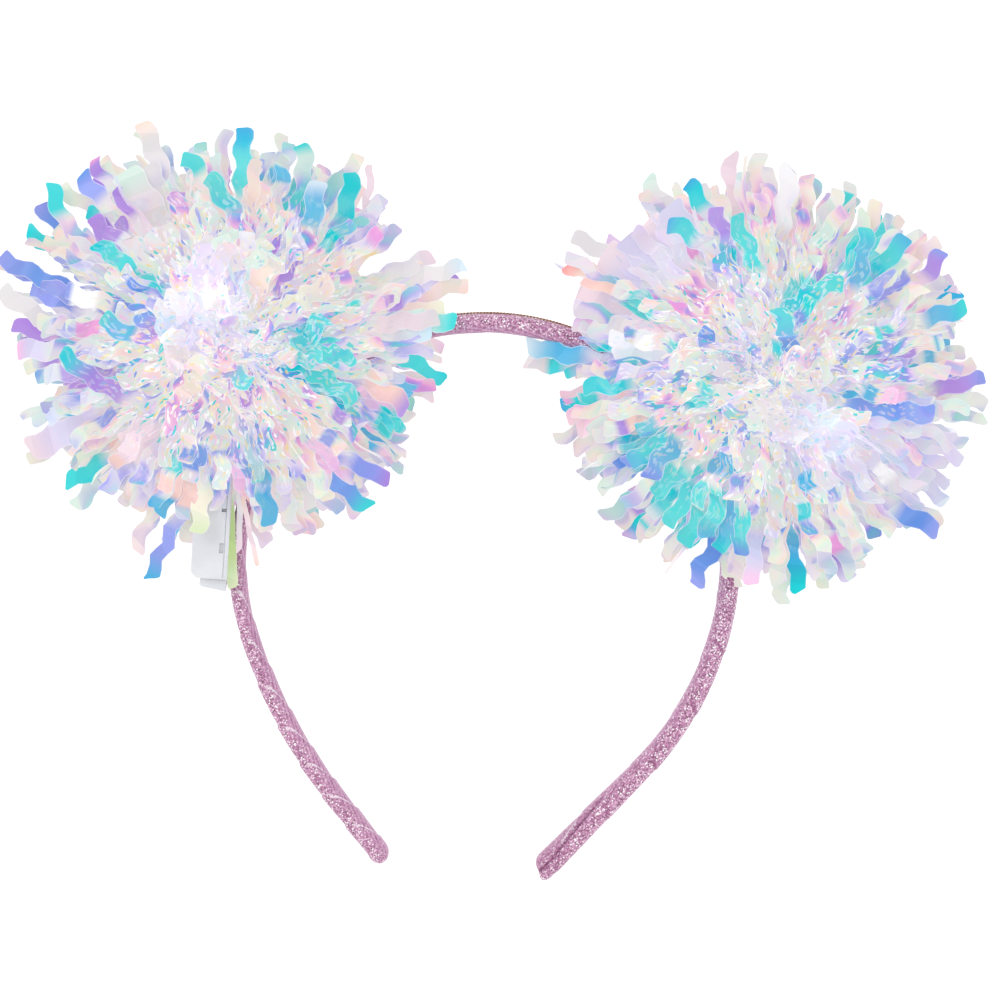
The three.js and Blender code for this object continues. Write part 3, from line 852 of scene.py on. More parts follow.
# widths, waves and curls drawn at random within the film's limits, added to a set of strips
def cutStrips(settings, strips):
    count = len(strips["root"])
    strips["width"] = random.uniform(*settings["stripWidth"], count)
    for key in ("waveLength", "waveDepth", "curlLength"):
        strips[key] = random.uniform(*settings[key], count)
    strips["width"] *= strips.get("widthShare", 1.0)
    strips["waveDepth"] *= strips.get("waveShare", 1.0)
    strips["wavePhase"] = random.uniform(0, 2 * math.pi, count)
    strips["curlPhase"] = random.uniform(0, 2 * math.pi, count)
    strips["curlDepth"] = random.normal(0, settings["curlDepth"], count) * strips.get("waveShare", 1.0)
    strips["floor"] = random.uniform(*settings["lowest"], count)
    strips["cut"] = random.normal(0, settings["cutSlant"], count)
    return strips


# colour runs from the root's tint to the middle's where the strip comes into view, and on to the tip's; the
# film's own run of colours gives way to a listed tint
def stripTints(settings, strips, stations):
    stops = strips["tints"]
    shade = random.normal(1, settings["shadeSpread"], (len(stops), 1, 1))
    placed = "tintFrom" in strips
    start = strips["tintFrom"][:, None] if placed else np.full((len(stops), 1), settings["looseStart"])
    t = stations[None, :]
    before, after = settings["placedShown"]
    shown = ease(start + before, start + after, t) if placed else ease(*settings["looseShown"], t)
    ended = ease((start + 1) / 2, 1.0, t)
    seen = stops[:, None, 1] + (stops[:, None, 2] - stops[:, None, 1]) * ended[..., None]
    colours = stops[:, None, 0] + (seen - stops[:, None, 0]) * shown[..., None]
    return colours * shade, settings["ownSlick"] - (settings["placedHold"] if placed else 0) * shown


# short stretches of one clear colour on some of the loose strips, each between two places drawn at random
def stretchTints(settings, colours, slick, stations):
    count = len(colours)
    middle = random.uniform(*settings["stretchMiddle"], (count, 1))
    half = random.uniform(*settings["stretchHalf"], (count, 1))
    chosen = random.random((count, 1)) < settings["stretchPart"]
    picked = random.choice(len(tintNames), count, p=tintChances(settings["brightShares"]))
    edge = settings["stretchEdge"]
    amount = chosen * (1 - ease(half - edge, half + edge, np.abs(stations[None, :] - middle)))
    colours = colours + (tintColours[picked][:, None] - colours) * amount[..., None]
    return colours, slick * (1 - settings["stretchHold"] * amount)


# patches where many strips show one colour: ovals laid along the radius, taken up by most of the strips
# that pass through them; there the film's own run of colours is held back
def patchTints(settings, colours, slick, middles, ball, patches):
    offset = middles[..., :2] - np.array([ball["x"], ball["y"]])
    for patch in patches:
        centre = np.array([patch["x"], patch["y"]])
        outward = unit(centre)
        away = offset - centre
        along = away @ outward
        across = away @ np.array([-outward[1], outward[0]])
        inside = (along / patch["along"]) ** 2 + (across / patch["across"]) ** 2
        taken = random.random((len(colours), 1)) < patch.get("taken", settings["patchTaken"])
        amount = patch.get("amount", 1.0) * (1 - ease(*settings["patchEdge"], inside)) * taken
        colours = colours + (tintColours[tintNames.index(patch["tint"])] - colours) * amount[..., None]
        slick = slick * (1 - settings["patchHold"] * amount)
    return colours, slick


# Listed strips: where each comes into view and where it ends, in millimetres from the middle of its ball,
# its tints at those places, and its share of the usual width or wave and its own height where these differ
accentColumns = ("fromX", "fromY", "toX", "toY", "tint")
accentRows = {
    "left": [
        (3.5, 39.7, 3.2, 57.2, ("teal", "azure")), (6.2, 37.0, 7.0, 48.0, ("peach", "peach")),
        (0.8, 34.6, -5.4, 43.2, ("teal", "teal")), (-7.8, 45.0, -12.2, 48.9, ("teal", "teal")),
        (30.2, 32.7, 32.9, 44.8, ("teal", "teal")), (22.1, 31.0, 23.5, 42.1, ("azure", "ice")),
        (20.0, 44.8, 19.2, 52.4, ("mint", "teal")), (-40.5, 12.4, -61.8, 22.7, ("blue", "periwinkle")),
        (-45.9, 24.0, -54.8, 29.7, ("teal", "teal")), (-43.7, 28.1, -50.5, 37.0, ("blue", "periwinkle")),
        (-45.9, 35.1, -47.8, 42.4, ("teal", "teal")), (-35.6, 38.9, -40.5, 44.8, ("periwinkle", "blue")),
        (-31.6, 39.7, -37.0, 44.8, ("violet", "violet")),
        (-34.8, 45.1, -37.0, 48.9, ("violet", "pink"), {"width": 0.7}),
        (-19.4, 47.8, -23.5, 58.9, ("oyster", "peach")), (-18.9, 12.4, -35.0, 26.5, ("teal", "teal")),
        (-14.9, 0.5, -22.7, 6.2, ("violet", "blue")), (-26.0, 1.4, -32.4, 4.9, ("azure", "teal")),
        (-47.5, 4.6, -62.0, 14.0, ("oyster", "oyster")), (-49.0, 1.9, -58.6, 4.6, ("violet", "violet")),
        (-50.0, -2.5, -57.0, -2.5, ("lilac", "blush")), (-28.4, -14.6, -44.3, -3.5, ("violet", "teal")),
        (14.3, -4.3, 26.5, 6.5, ("teal", "teal")), (15.7, -4.9, 33.8, -16.5, ("teal", "teal")),
        (16.4, -3.2, 34.2, -4.2, ("teal", "teal")), (44.1, -3.1, 57.0, -11.3, ("teal", "teal")),
        (-2.4, -2.7, 6.2, -12.2, ("violet", "teal")), (11.6, 14.0, 21.0, 26.2, ("violet", "lilac")),
        (-34.3, -32.7, -44.6, -37.8, ("teal", "teal")), (26.0, -36.0, 37.3, -44.8, ("blue", "teal")),
        (9.4, -40.0, 11.4, -49.4, ("azure", "azure")),
        (-15.4, -50.0, -22.1, -63.7, ("periwinkle", "azure"), {"width": 0.75}),
        (37.4, -11.0, 48.0, -18.5, ("apricot", "violet")),
        (33.0, -33.0, 43.0, -36.5, ("periwinkle", "violet")),
        (44.0, 18.5, 54.5, 23.0, ("oyster", "rose")), (50.0, 17.0, 63.0, 20.3, ("oyster", "ice")),
        (48.0, 14.8, 61.5, 17.0, ("lilac", "violet"), {"width": 0.8}),
        (35.0, 30.0, 37.6, 47.5, ("rose", "rose"), {"width": 0.4}),
        (42.0, 6.0, 60.5, 4.6, ("mint", "teal"), {"height": 34.0}),
        (38.0, 2.0, 54.0, 2.5, ("oyster", "ice"), {"height": 34.0}),
        (40.0, 8.5, 57.5, 8.0, ("peach", "lemon"), {"height": 33.0}),
        (40.0, 4.5, 56.0, 5.8, ("rose", "oyster"), {"height": 36.0}),
        (-0.5, -44.0, 0.4, -66.4, ("lime", "paleLime"), {"width": 0.6, "wave": 0.1, "height": 22.5}),
        (2.4, -41.0, 2.1, -56.5, ("oyster", "rose"), {"width": 0.36, "wave": 0.15, "height": 24.5}),
        (1.5, -34.0, 7.0, -43.0, ("blush", "coral"), {"height": 33.0}),
        (4.4, -48.0, 7.2, -60.4, ("rose", "peach"), {"width": 0.28, "wave": 0.2, "height": 24.0}),
        (-7.0, -40.0, -8.6, -51.5, ("lemon", "paleLime"), {"width": 0.9, "height": 36.0}),
        (-9.5, 10.0, -3.5, 27.0, ("lilac", "oyster")), (-3.5, 12.0, 1.5, 29.0, ("white", "mint")),
        (1.0, 13.0, 6.5, 28.0, ("rose", "white")), (-4.0, -1.5, -16.0, 1.5, ("lilac", "white")),
        (-6.0, 2.5, -18.0, 7.5, ("lilac", "white")), (-3.0, 9.0, -6.0, 25.0, ("white", "lilac")),
        (-5.0, 13.0, 1.5, 25.0, ("lilac", "rose"), {"wave": 0.5}),
        (-4.0, 4.0, -15.5, 10.5, ("lilac", "white")), (-5.0, -1.0, -16.5, -5.0, ("oyster", "rose")),
        (3.0, 12.0, 11.0, 26.0, ("mint", "lemon")),
        (5.5, 10.0, 13.0, 24.0, ("peach", "mint"), {"width": 1.2}),
        (12.0, 6.5, 28.0, 14.8, ("lemon", "peach"), {"width": 1.2}),
        (-5.0, 1.0, -18.5, 4.2, ("lilac", "ice"), {"width": 1.2}),
        (3.5, 13.0, -2.0, 27.0, ("oyster", "mint"), {"wave": 0.5}),
        (-6.0, -2.0, -14.5, -9.0, ("oyster", "rose")), (-4.0, -4.0, -11.0, -15.5, ("lemon", "peach")),
        (-18.0, 30.0, -28.5, 45.5, ("oyster", "mint"), {"width": 1.8, "height": 34.0}),
        (-15.0, 31.0, -23.0, 46.5, ("oyster", "oyster"), {"width": 1.7, "height": 32.0}),
        (34.0, 12.0, 53.0, 19.0, ("oyster", "peach"), {"width": 1.7, "height": 26.0}),
        (-36.0, -20.0, -54.0, -29.5, ("lilac", "rose"), {"width": 1.6, "height": 26.0}),
    ],
    "right": [
        (-43.7, 26.7, -54.0, 30.2, ("peach", "coral")), (-17.8, 45.9, -22.1, 51.8, ("teal", "azure")),
        (-20.5, 37.3, -27.3, 40.8, ("teal", "azure")), (-11.9, 37.3, -15.4, 44.8, ("violet", "violet")),
        (-4.0, 28.6, -10.0, 42.4, ("teal", "teal")), (22.7, 24.3, 25.1, 39.7, ("azure", "teal")),
        (28.0, 28.0, 36.5, 37.0, ("teal", "azure")), (3.8, 3.5, 1.9, 16.5, ("blue", "teal")),
        (3.0, 15.5, 18.4, 25.1, ("teal", "teal")), (42.4, 15.7, 52.7, 18.4, ("azure", "teal")),
        (42.4, 27.8, 46.7, 33.9, ("violet", "periwinkle")),
        (45.9, -3.2, 58.2, 0.3, ("violet", "periwinkle")),
        (20.8, -6.8, 43.2, -10.3, ("blue", "periwinkle")), (-50.8, 5.6, -65.0, 8.8, ("azure", "ice")),
        (-27.3, -16.7, -37.8, -23.5, ("teal", "azure")), (-23.5, -24.8, -31.6, -31.6, ("teal", "teal")),
        (-18.1, -35.6, -23.0, -45.1, ("teal", "teal")), (-7.3, -35.6, -8.6, -47.8, ("teal", "blue")),
        (4.6, -39.4, 8.9, -57.5, ("azure", "teal")), (14.0, -39.4, 22.7, -54.0, ("violet", "lilac")),
        (35.6, -35.9, 45.9, -41.0, ("blue", "periwinkle")),
        (-14.0, -44.0, -20.5, -56.0, ("blue", "periwinkle")),
        (-38.0, -2.0, -50.0, -3.0, ("teal", "teal")), (-13.0, -31.0, -17.5, -43.0, ("teal", "azure")),
        (-10.0, -33.0, -13.5, -46.5, ("azure", "teal")), (-20.5, -29.0, -27.5, -40.0, ("teal", "teal")),
        (-25.0, -17.5, -33.0, -27.0, ("azure", "blue")), (-8.0, 40.0, -10.5, 60.0, ("rose", "rose")),
        (-26.5, 44.0, -33.0, 53.2, ("oyster", "mint")), (-43.0, 33.0, -52.5, 37.8, ("oyster", "oyster")),
        (3.0, 41.0, 6.0, 56.0, ("white", "white")), (-4.0, -42.0, -4.5, -55.6, ("lilac", "blush")),
        (2.0, -6.0, 7.5, -18.0, ("lilac", "white")), (-1.0, -4.0, -6.0, -14.0, ("oyster", "mint")),
        (0.5, -5.0, 3.2, -18.0, ("oyster", "lilac"), {"width": 1.2}),
        (8.0, -9.0, 20.0, -20.0, ("lilac", "ice"), {"width": 1.2}),
        (9.0, -7.0, 21.0, -16.0, ("ice", "lilac")),
        (-26.0, 9.0, -43.0, 9.6, ("white", "white"), {"height": 40.0}),
        (-26.0, 5.0, -42.0, 5.6, ("white", "white"), {"height": 40.0}),
        (-27.0, 12.0, -43.5, 13.4, ("rose", "oyster"), {"height": 38.0}),
        (-28.0, 21.0, -44.5, 33.0, ("lilac", "rose"), {"width": 1.8, "height": 30.0}),
        (-25.0, 25.0, -38.5, 37.5, ("lilac", "lilac"), {"width": 1.8, "height": 32.0}),
        (-22.0, 29.0, -33.0, 41.5, ("lilac", "rose"), {"width": 1.7, "height": 30.0}),
        (-18.0, 32.0, -27.0, 46.0, ("lilac", "lilac"), {"width": 1.8, "height": 32.0}),
        (-32.0, 15.0, -51.5, 22.5, ("rose", "rose"), {"width": 1.7, "height": 28.0}),
        (3.0, -9.0, 15.5, -17.5, ("ice", "lilac"), {"width": 1.2}),
    ],
}

# Ovals of colour: the middle of each in millimetres from the middle of its ball, its half lengths along
# and across the radius, its tint, and how much of it and how many of the strips there take it
colourColumns = ("x", "y", "along", "across", "tint")
colourPatches = {
    "left": [
        (-4.0, 11.0, 15.0, 15.0, "lilac", {"amount": 0.6}),
        (-30.0, 30.0, 12.0, 14.0, "lilac", {"amount": 0.6}),
        (-44.0, 6.0, 12.0, 8.0, "lilac", {"amount": 0.6}),
        (-49.0, 15.5, 10.0, 8.0, "periwinkle", {"taken": 0.65}),
        (-50.5, -1.0, 7.0, 5.0, "violet", {"taken": 0.5}),
        (-37.5, -9.5, 9.0, 6.0, "violet", {"taken": 0.6}),
        (-33.0, -11.5, 7.0, 4.0, "teal", {"taken": 0.5}), (-33.8, -19.8, 4.0, 3.0, "periwinkle"),
        (-23.2, -25.3, 3.0, 2.5, "periwinkle"), (-24.3, 6.1, 8.5, 4.0, "blue", {"taken": 0.6}),
        (-20.0, 3.5, 4.0, 2.6, "violet", {"taken": 0.7}), (-15.9, 12.0, 3.0, 2.4, "white"),
        (-14.9, -32.4, 3.4, 2.4, "teal"), (-8.6, -31.5, 4.0, 2.8, "blue"),
        (-4.6, -30.5, 2.6, 2.2, "periwinkle"), (-30.6, -29.2, 5.0, 4.0, "apricot"),
        (-12.4, -39.8, 5.0, 6.0, "apricot", {"taken": 0.75}),
        (24.4, -1.8, 9.0, 5.5, "teal", {"taken": 0.75}), (22.0, 3.0, 5.0, 3.0, "lagoon", {"taken": 0.6}),
        (47.0, -15.5, 7.0, 4.5, "azure", {"taken": 0.4}),
        (38.0, -14.0, 7.0, 5.0, "blush", {"taken": 0.5}), (14.0, 16.5, 3.0, 2.2, "pink", {"amount": 0.7}),
        (-33.0, 34.0, 8.0, 8.0, "violet", {"taken": 0.45}),
        (-43.0, 36.0, 8.0, 7.0, "teal", {"taken": 0.4}),
        (-18.0, -48.0, 7.0, 6.0, "azure", {"taken": 0.5}), (13.6, 44.3, 2.6, 2.6, "azure"),
        (27.3, 26.9, 3.4, 2.4, "teal"), (37.9, 28.4, 3.2, 2.0, "pink"), (36.5, 25.0, 3.0, 1.8, "gold"),
        (44.1, 9.5, 3.0, 2.2, "violet"), (40.0, 13.5, 2.0, 1.5, "coral"),
        (28.1, -13.5, 7.0, 4.0, "lagoon"), (42.9, -21.9, 4.5, 3.0, "teal"),
        (26.5, -25.8, 2.2, 2.0, "periwinkle"), (28.5, -20.0, 2.8, 1.3, "violet"),
        (25.9, -32.1, 8.0, 3.2, "blush"), (-38.5, 11.6, 4.0, 3.5, "glint"),
        (-8.6, -46.5, 4.0, 1.8, "lime", {"amount": 0.6}), (-24.0, -27.0, 7.0, 5.0, "rose"),
        (8.0, -28.0, 10.0, 8.0, "blush", {"amount": 0.45}),
    ],
    "right": [
        (0.5, 0.5, 17.0, 17.0, "lemon", {"amount": 0.35}),
        (16.0, -16.0, 15.0, 17.0, "lilac", {"amount": 0.7}),
        (37.0, -22.0, 16.0, 17.0, "lilac", {"amount": 0.75}),
        (15.0, -17.5, 6.0, 6.0, "ice", {"amount": 0.8, "taken": 0.6}),
        (-30.0, 34.0, 11.0, 10.0, "lilac", {"amount": 0.8}),
        (-33.0, -18.5, 8.0, 6.0, "lagoon", {"taken": 0.7}),
        (-36.0, -20.0, 7.0, 6.0, "blue", {"taken": 0.35}),
        (-24.0, -30.0, 9.0, 7.0, "teal", {"taken": 0.7}), (3.0, 10.5, 6.0, 2.8, "teal"),
        (5.5, 16.5, 2.6, 3.4, "blue"), (8.0, 22.0, 6.0, 3.6, "teal"),
        (27.0, 33.0, 10.0, 6.0, "teal", {"taken": 0.65}),
        (-47.0, 25.0, 6.0, 5.0, "apricot", {"taken": 0.75}),
        (-50.0, -10.0, 8.0, 7.0, "blush", {"amount": 0.5, "taken": 0.6}),
        (-38.0, -9.0, 6.0, 5.0, "apricot", {"taken": 0.4}), (33.2, -5.2, 4.0, 2.4, "blush"),
        (24.0, -6.0, 6.0, 2.6, "azure", {"taken": 0.6}), (8.6, -29.2, 4.5, 2.4, "azure", {"taken": 0.6}),
        (30.9, -25.3, 3.0, 2.0, "glint"), (-21.9, 33.2, 2.2, 1.8, "pink"), (-8.4, 32.0, 4.0, 2.2, "teal"),
        (-35.1, 18.6, 4.6, 3.6, "teal"), (-43.3, 7.8, 2.7, 3.8, "teal"), (-34.8, 7.3, 7.0, 3.2, "glint"),
        (-55.9, 1.9, 3.8, 2.4, "teal"), (20.8, 47.3, 2.6, 2.4, "teal"), (30.9, 44.8, 2.4, 2.2, "teal"),
        (31.6, 23.0, 7.5, 3.2, "periwinkle"), (30.8, 12.0, 3.3, 1.2, "teal"),
        (44.3, 7.3, 7.8, 1.8, "azure"), (-48.9, -6.9, 4.6, 2.2, "teal"),
        (-56.2, -7.0, 2.4, 2.2, "pink", {"amount": 0.5}), (-39.4, -14.0, 2.4, 2.2, "violet"),
        (-34.8, -33.8, 2.5, 1.8, "violet"), (-35.0, -38.2, 2.8, 2.4, "teal"),
        (-15.5, -39.0, 10.0, 9.0, "teal", {"taken": 0.75}),
        (-13.0, -42.0, 5.0, 5.0, "lagoon", {"taken": 0.5}), (-20.1, -5.5, 4.8, 3.0, "teal"),
        (-12.7, -22.0, 5.6, 3.2, "azure"), (-23.2, -32.3, 7.0, 2.6, "glint"),
        (-46.7, -24.7, 2.6, 2.4, "glint"),
    ],
}

iridescentFilm = {
    "gloss": 0.25,
    "shine": 0.2,
    # painted light: the base colour is turned down to this share, and the film glows evenly in its
    # emission, so that the strips look lit through and without shade
    "bodyShare": 0.45,
    "paintedGlow": 0.535,
    # painted light: near each bead the film turns towards a lilac white and glows more, a painted pool of
    # the beads' light
    "beadLight": 0.25,
    "beadReach": 6.0,
    "haloReach": 11.0,
    "paintedBeadLight": 0.52,
    "beadColour": "#F1ECFF",
    "beadShift": (1.0, 0.0, 10.0),     # mm from a bead to the middle of its light in the film
    "beadScale": (1.25, 0.9, 0.4),
    "coreShare": 0.6,
    "haloShare": 0.3,
    "slickLong": 16.0,         # mm along the strip from one colour to the next, and across it
    "slickWide": 11.0,
    "slickGain": 0.70,
    "slickDetail": 1.2,
    "slickSwirl": 0.5,
    "noiseRough": 0.5,
    "patchSpan": 23.0,         # mm over which neighbouring strips share a colour
    "patchGain": 0.75,
    "patchDetail": 1.0,
    "stripShift": 0.035,
    "slickRun": [
        (0.20, "#0CCCD0"), (0.27, "#3AB4E0"), (0.31, "#8C9AEA"), (0.35, "#BEB6F0"), (0.39, "#DDD6F3"),
        (0.44, "#E6E0E5"), (0.49, "#D4EDE3"), (0.53, "#EDEDD8"), (0.57, "#F0E2E6"), (0.61, "#F7D8CA"),
        (0.65, "#F2CCDF"), (0.69, "#EAA6DC"), (0.74, "#AE88E0"), (0.79, "#5F93E6"), (0.86, "#0CCCD0")],
    "facetLong": 1.4,
    "facetWide": 0.55,
    # small facets near the core: the pure white, pale yellow and pale pink ones are painted glints, the
    # rest the film's own colours
    "facetAndGlintTints": [
        "glint", "sun", "mint", "blush", "white", "teal", "ice", "glint", "peach", "lilac", "gold", "glint",
        "periwinkle", "rose"],
    "facetPart": 0.30,
    "bandLong": 5.2,           # mm between the bends where the film turns to another tone
    "bandSkew": 0.4,
    "bandGain": 0.10,
    # painted highlight: the cut edges of each strip are drawn pale
    "edgeHighlight": "#F8F3FB",
    "edgeFrom": 0.86,
    "edgePart": 0.55,
    "clearLeast": 0.3,         # share of the facets that shows on a strip with a placed tint
    # painted light and shade: the film's glow steps up or down by up to this much from one bend to the next
    "bendGlowSpread": 0.13,
}


# polyester film with an interference coating, slit and crimped: clear pearly colours that run into each
# other like oil on water, pale edges that are a painted highlight, and small facets where the film is
# crushed near the core, the brightest of them painted glints; the film glows evenly with painted light in
# its emission over a darkened base colour, in steps of painted light and shade from bend to bend, and more
# near the beads as a painted pool of their light
def slitIridescentFilm(settings):
    material, tree = startMaterial("slitIridescentFilm")
    tint, crease, slick, shift, glow, heart = (
        addNode(tree, "ShaderNodeAttribute", attribute_name=name)
        for name in ("tint", "crease", "slick", "shift", "glow", "heart"))
    surface = addNode(tree, "ShaderNodeUVMap", uv_map="surface")
    stripWide = sum(tinselBall["stripWidth"]) / 2
    sizes = [("slickLong", "slickWide"), ("facetLong", "facetWide")]
    slow, quick = (addNode(tree, "ShaderNodeMapping", fed={"Vector": surface.outputs["UV"]}, plain={
        "Scale": (1 / settings[long], stripWide / settings[wide], 1)}) for long, wide in sizes)
    drift = addNode(tree, "ShaderNodeTexNoise", noise_dimensions="2D", plain={
        "Scale": 1.0, "Detail": settings["slickDetail"], "Roughness": settings["noiseRough"],
        "Distortion": settings["slickSwirl"]}, fed={"Vector": slow.outputs["Vector"]})
    across = addNode(tree, "ShaderNodeSeparateXYZ", fed={"Vector": surface.outputs["UV"]})
    bends = addNode(tree, "ShaderNodeMath", operation="MULTIPLY", plain={1: 1 / settings["bandLong"]},
                    fed={0: across.outputs["X"]})
    skewed = addNode(tree, "ShaderNodeMath", operation="MULTIPLY_ADD", plain={1: settings["bandSkew"]},
                     fed={0: across.outputs["Y"], 2: bends.outputs[0]})
    cell = addNode(tree, "ShaderNodeMath", operation="FLOOR", fed={0: skewed.outputs[0]})
    step = addNode(tree, "ShaderNodeTexWhiteNoise", noise_dimensions="1D", fed={"W": cell.outputs[0]})
    place = addNode(tree, "ShaderNodeTexCoord")
    region = addNode(tree, "ShaderNodeTexNoise", plain={
        "Scale": 1 / (settings["patchSpan"] * millimetre), "Detail": settings["patchDetail"],
        "Roughness": settings["noiseRough"]}, fed={"Vector": place.outputs["Object"]})
    gains = settings["slickGain"] + settings["patchGain"] + settings["bandGain"]
    stepped = addNode(tree, "ShaderNodeMath", operation="MULTIPLY_ADD", fed={0: step.outputs["Value"]},
                      plain={1: settings["bandGain"], 2: 0.5 - gains / 2})
    own = addNode(tree, "ShaderNodeMath", operation="MULTIPLY_ADD", plain={1: settings["slickGain"]},
                  fed={0: drift.outputs["Fac"], 2: stepped.outputs[0]})
    spread = addNode(tree, "ShaderNodeMath", operation="MULTIPLY_ADD", plain={1: settings["patchGain"]},
                     fed={0: region.outputs["Fac"], 2: own.outputs[0]})
    order = addNode(tree, "ShaderNodeMath", operation="ADD",
                    fed={0: spread.outputs[0], 1: shift.outputs["Fac"]})
    oil = addNode(tree, "ShaderNodeValToRGB", fed={"Fac": order.outputs[0]})
    fillRamp(oil.color_ramp, settings["slickRun"])
    film = addNode(tree, "ShaderNodeMix", data_type="RGBA",
                   fed={0: slick.outputs["Fac"], 6: tint.outputs["Color"], 7: oil.outputs["Color"]})
    # small facets near the core, some of them painted glints
    facets = addNode(tree, "ShaderNodeTexVoronoi", plain={"Scale": 1.0}, voronoi_dimensions="2D",
                     fed={"Vector": quick.outputs["Vector"]})
    pick = addNode(tree, "ShaderNodeSeparateColor", fed={"Color": facets.outputs["Color"]})
    patch = addNode(tree, "ShaderNodeValToRGB", fed={"Fac": pick.outputs["Red"]})
    names = settings["facetAndGlintTints"]
    fillRamp(patch.color_ramp, [(i / len(names), filmTints[name]) for i, name in enumerate(names)])
    patch.color_ramp.interpolation = "CONSTANT"
    chosen = addNode(tree, "ShaderNodeMath", operation="LESS_THAN", plain={1: settings["facetPart"]},
                     fed={0: pick.outputs["Green"]})
    crushed = addNode(tree, "ShaderNodeMath", operation="MULTIPLY",
                      fed={0: chosen.outputs[0], 1: crease.outputs["Fac"]})
    least = settings["clearLeast"]
    clear = addNode(tree, "ShaderNodeMath", operation="MULTIPLY_ADD", plain={1: 1 - least, 2: least},
                    fed={0: slick.outputs["Fac"]})
    amount = addNode(tree, "ShaderNodeMath", operation="MULTIPLY",
                     fed={0: crushed.outputs[0], 1: clear.outputs[0]})
    mottled = addNode(tree, "ShaderNodeMix", data_type="RGBA",
                      fed={0: amount.outputs[0], 6: film.outputs[2], 7: patch.outputs["Color"]})
    # painted highlight along the cut edges of each strip
    fromMiddle = addNode(tree, "ShaderNodeMath", operation="MULTIPLY_ADD", plain={1: 2.0, 2: -1.0},
                         fed={0: across.outputs["Y"]})
    outward = addNode(tree, "ShaderNodeMath", operation="ABSOLUTE", fed={0: fromMiddle.outputs[0]})
    edge = addNode(tree, "ShaderNodeMapRange", interpolation_type="SMOOTHSTEP", fed={0: outward.outputs[0]},
                   plain={1: settings["edgeFrom"], 2: 1.0, 3: 0.0, 4: settings["edgePart"]})
    edged = addNode(tree, "ShaderNodeMix", data_type="RGBA", plain={7: linearColour(settings["edgeHighlight"])},
                    fed={0: edge.outputs[0], 6: mottled.outputs[2]})
    # painted pool of the beads' light: near each bead the film turns towards a lilac white and glows more
    veil = addNode(tree, "ShaderNodeMath", operation="MULTIPLY", plain={1: settings["paintedBeadLight"]},
                   fed={0: glow.outputs["Fac"]})
    lit = addNode(tree, "ShaderNodeMix", data_type="RGBA", plain={7: linearColour(settings["beadColour"])},
                  fed={0: veil.outputs[0], 6: edged.outputs[2]})
    # painted light: a darker base colour under an even emission of the film's own colour, which steps at
    # the bends and rises near the beads and in the middle of the ball
    body = addNode(tree, "ShaderNodeMix", data_type="RGBA", blend_type="MULTIPLY",
                   plain={0: 1.0, 7: (*[settings["bodyShare"]] * 3, 1)}, fed={6: lit.outputs[2]})
    # painted light and shade at the bends: the glow of each stretch between bends is raised or lowered at
    # random
    tone = addNode(tree, "ShaderNodeMath", operation="MULTIPLY_ADD", fed={0: step.outputs["Value"]},
                   plain={1: settings["bendGlowSpread"], 2: settings["paintedGlow"] - settings["bendGlowSpread"] / 2})
    bright = addNode(tree, "ShaderNodeMath", operation="MULTIPLY_ADD", plain={1: settings["beadLight"]},
                     fed={0: glow.outputs["Fac"], 2: tone.outputs[0]})
    light = addNode(tree, "ShaderNodeMath", operation="ADD",
                    fed={0: bright.outputs[0], 1: heart.outputs["Fac"]})
    shader = addNode(tree, "ShaderNodeBsdfPrincipled",
                     plain={"Roughness": settings["gloss"], "IOR": plasticIor,
                            "Specular IOR Level": settings["shine"]},
                     fed={"Base Color": body.outputs[2], "Emission Color": lit.outputs[2],
                          "Emission Strength": light.outputs[0]})
    addNode(tree, "ShaderNodeOutputMaterial", fed={"Surface": shader.outputs[0]})
    material.cycles.emission_sampling = "NONE"
    return material


# light that reaches a place from the beads: a narrow and a wide bell curve of its distance from each,
# with the height counted less, because the film above a bead passes its light on
def beadGlow(settings, points):
    total = np.zeros(points.shape[:-1])
    for bead in lightBead["beads"]:
        centre = np.array([bead[axis] for axis in "xyz"]) + settings["beadShift"]
        away = np.linalg.norm((points - centre) * settings["beadScale"], axis=-1)
        core = np.exp(-(away / settings["beadReach"]) ** 2)
        halo = np.exp(-(away / settings["haloReach"]) ** 2)
        total += bead["lit"] * (settings["coreShare"] * core + settings["haloShare"] * halo)
    return total


# rows of a chart as dictionaries: the columns in order, then the values that differ from the usual
def readChart(columns, rows):
    size = len(columns)
    return [dict(zip(columns, row), **(row[size] if len(row) > size else {})) for row in rows]


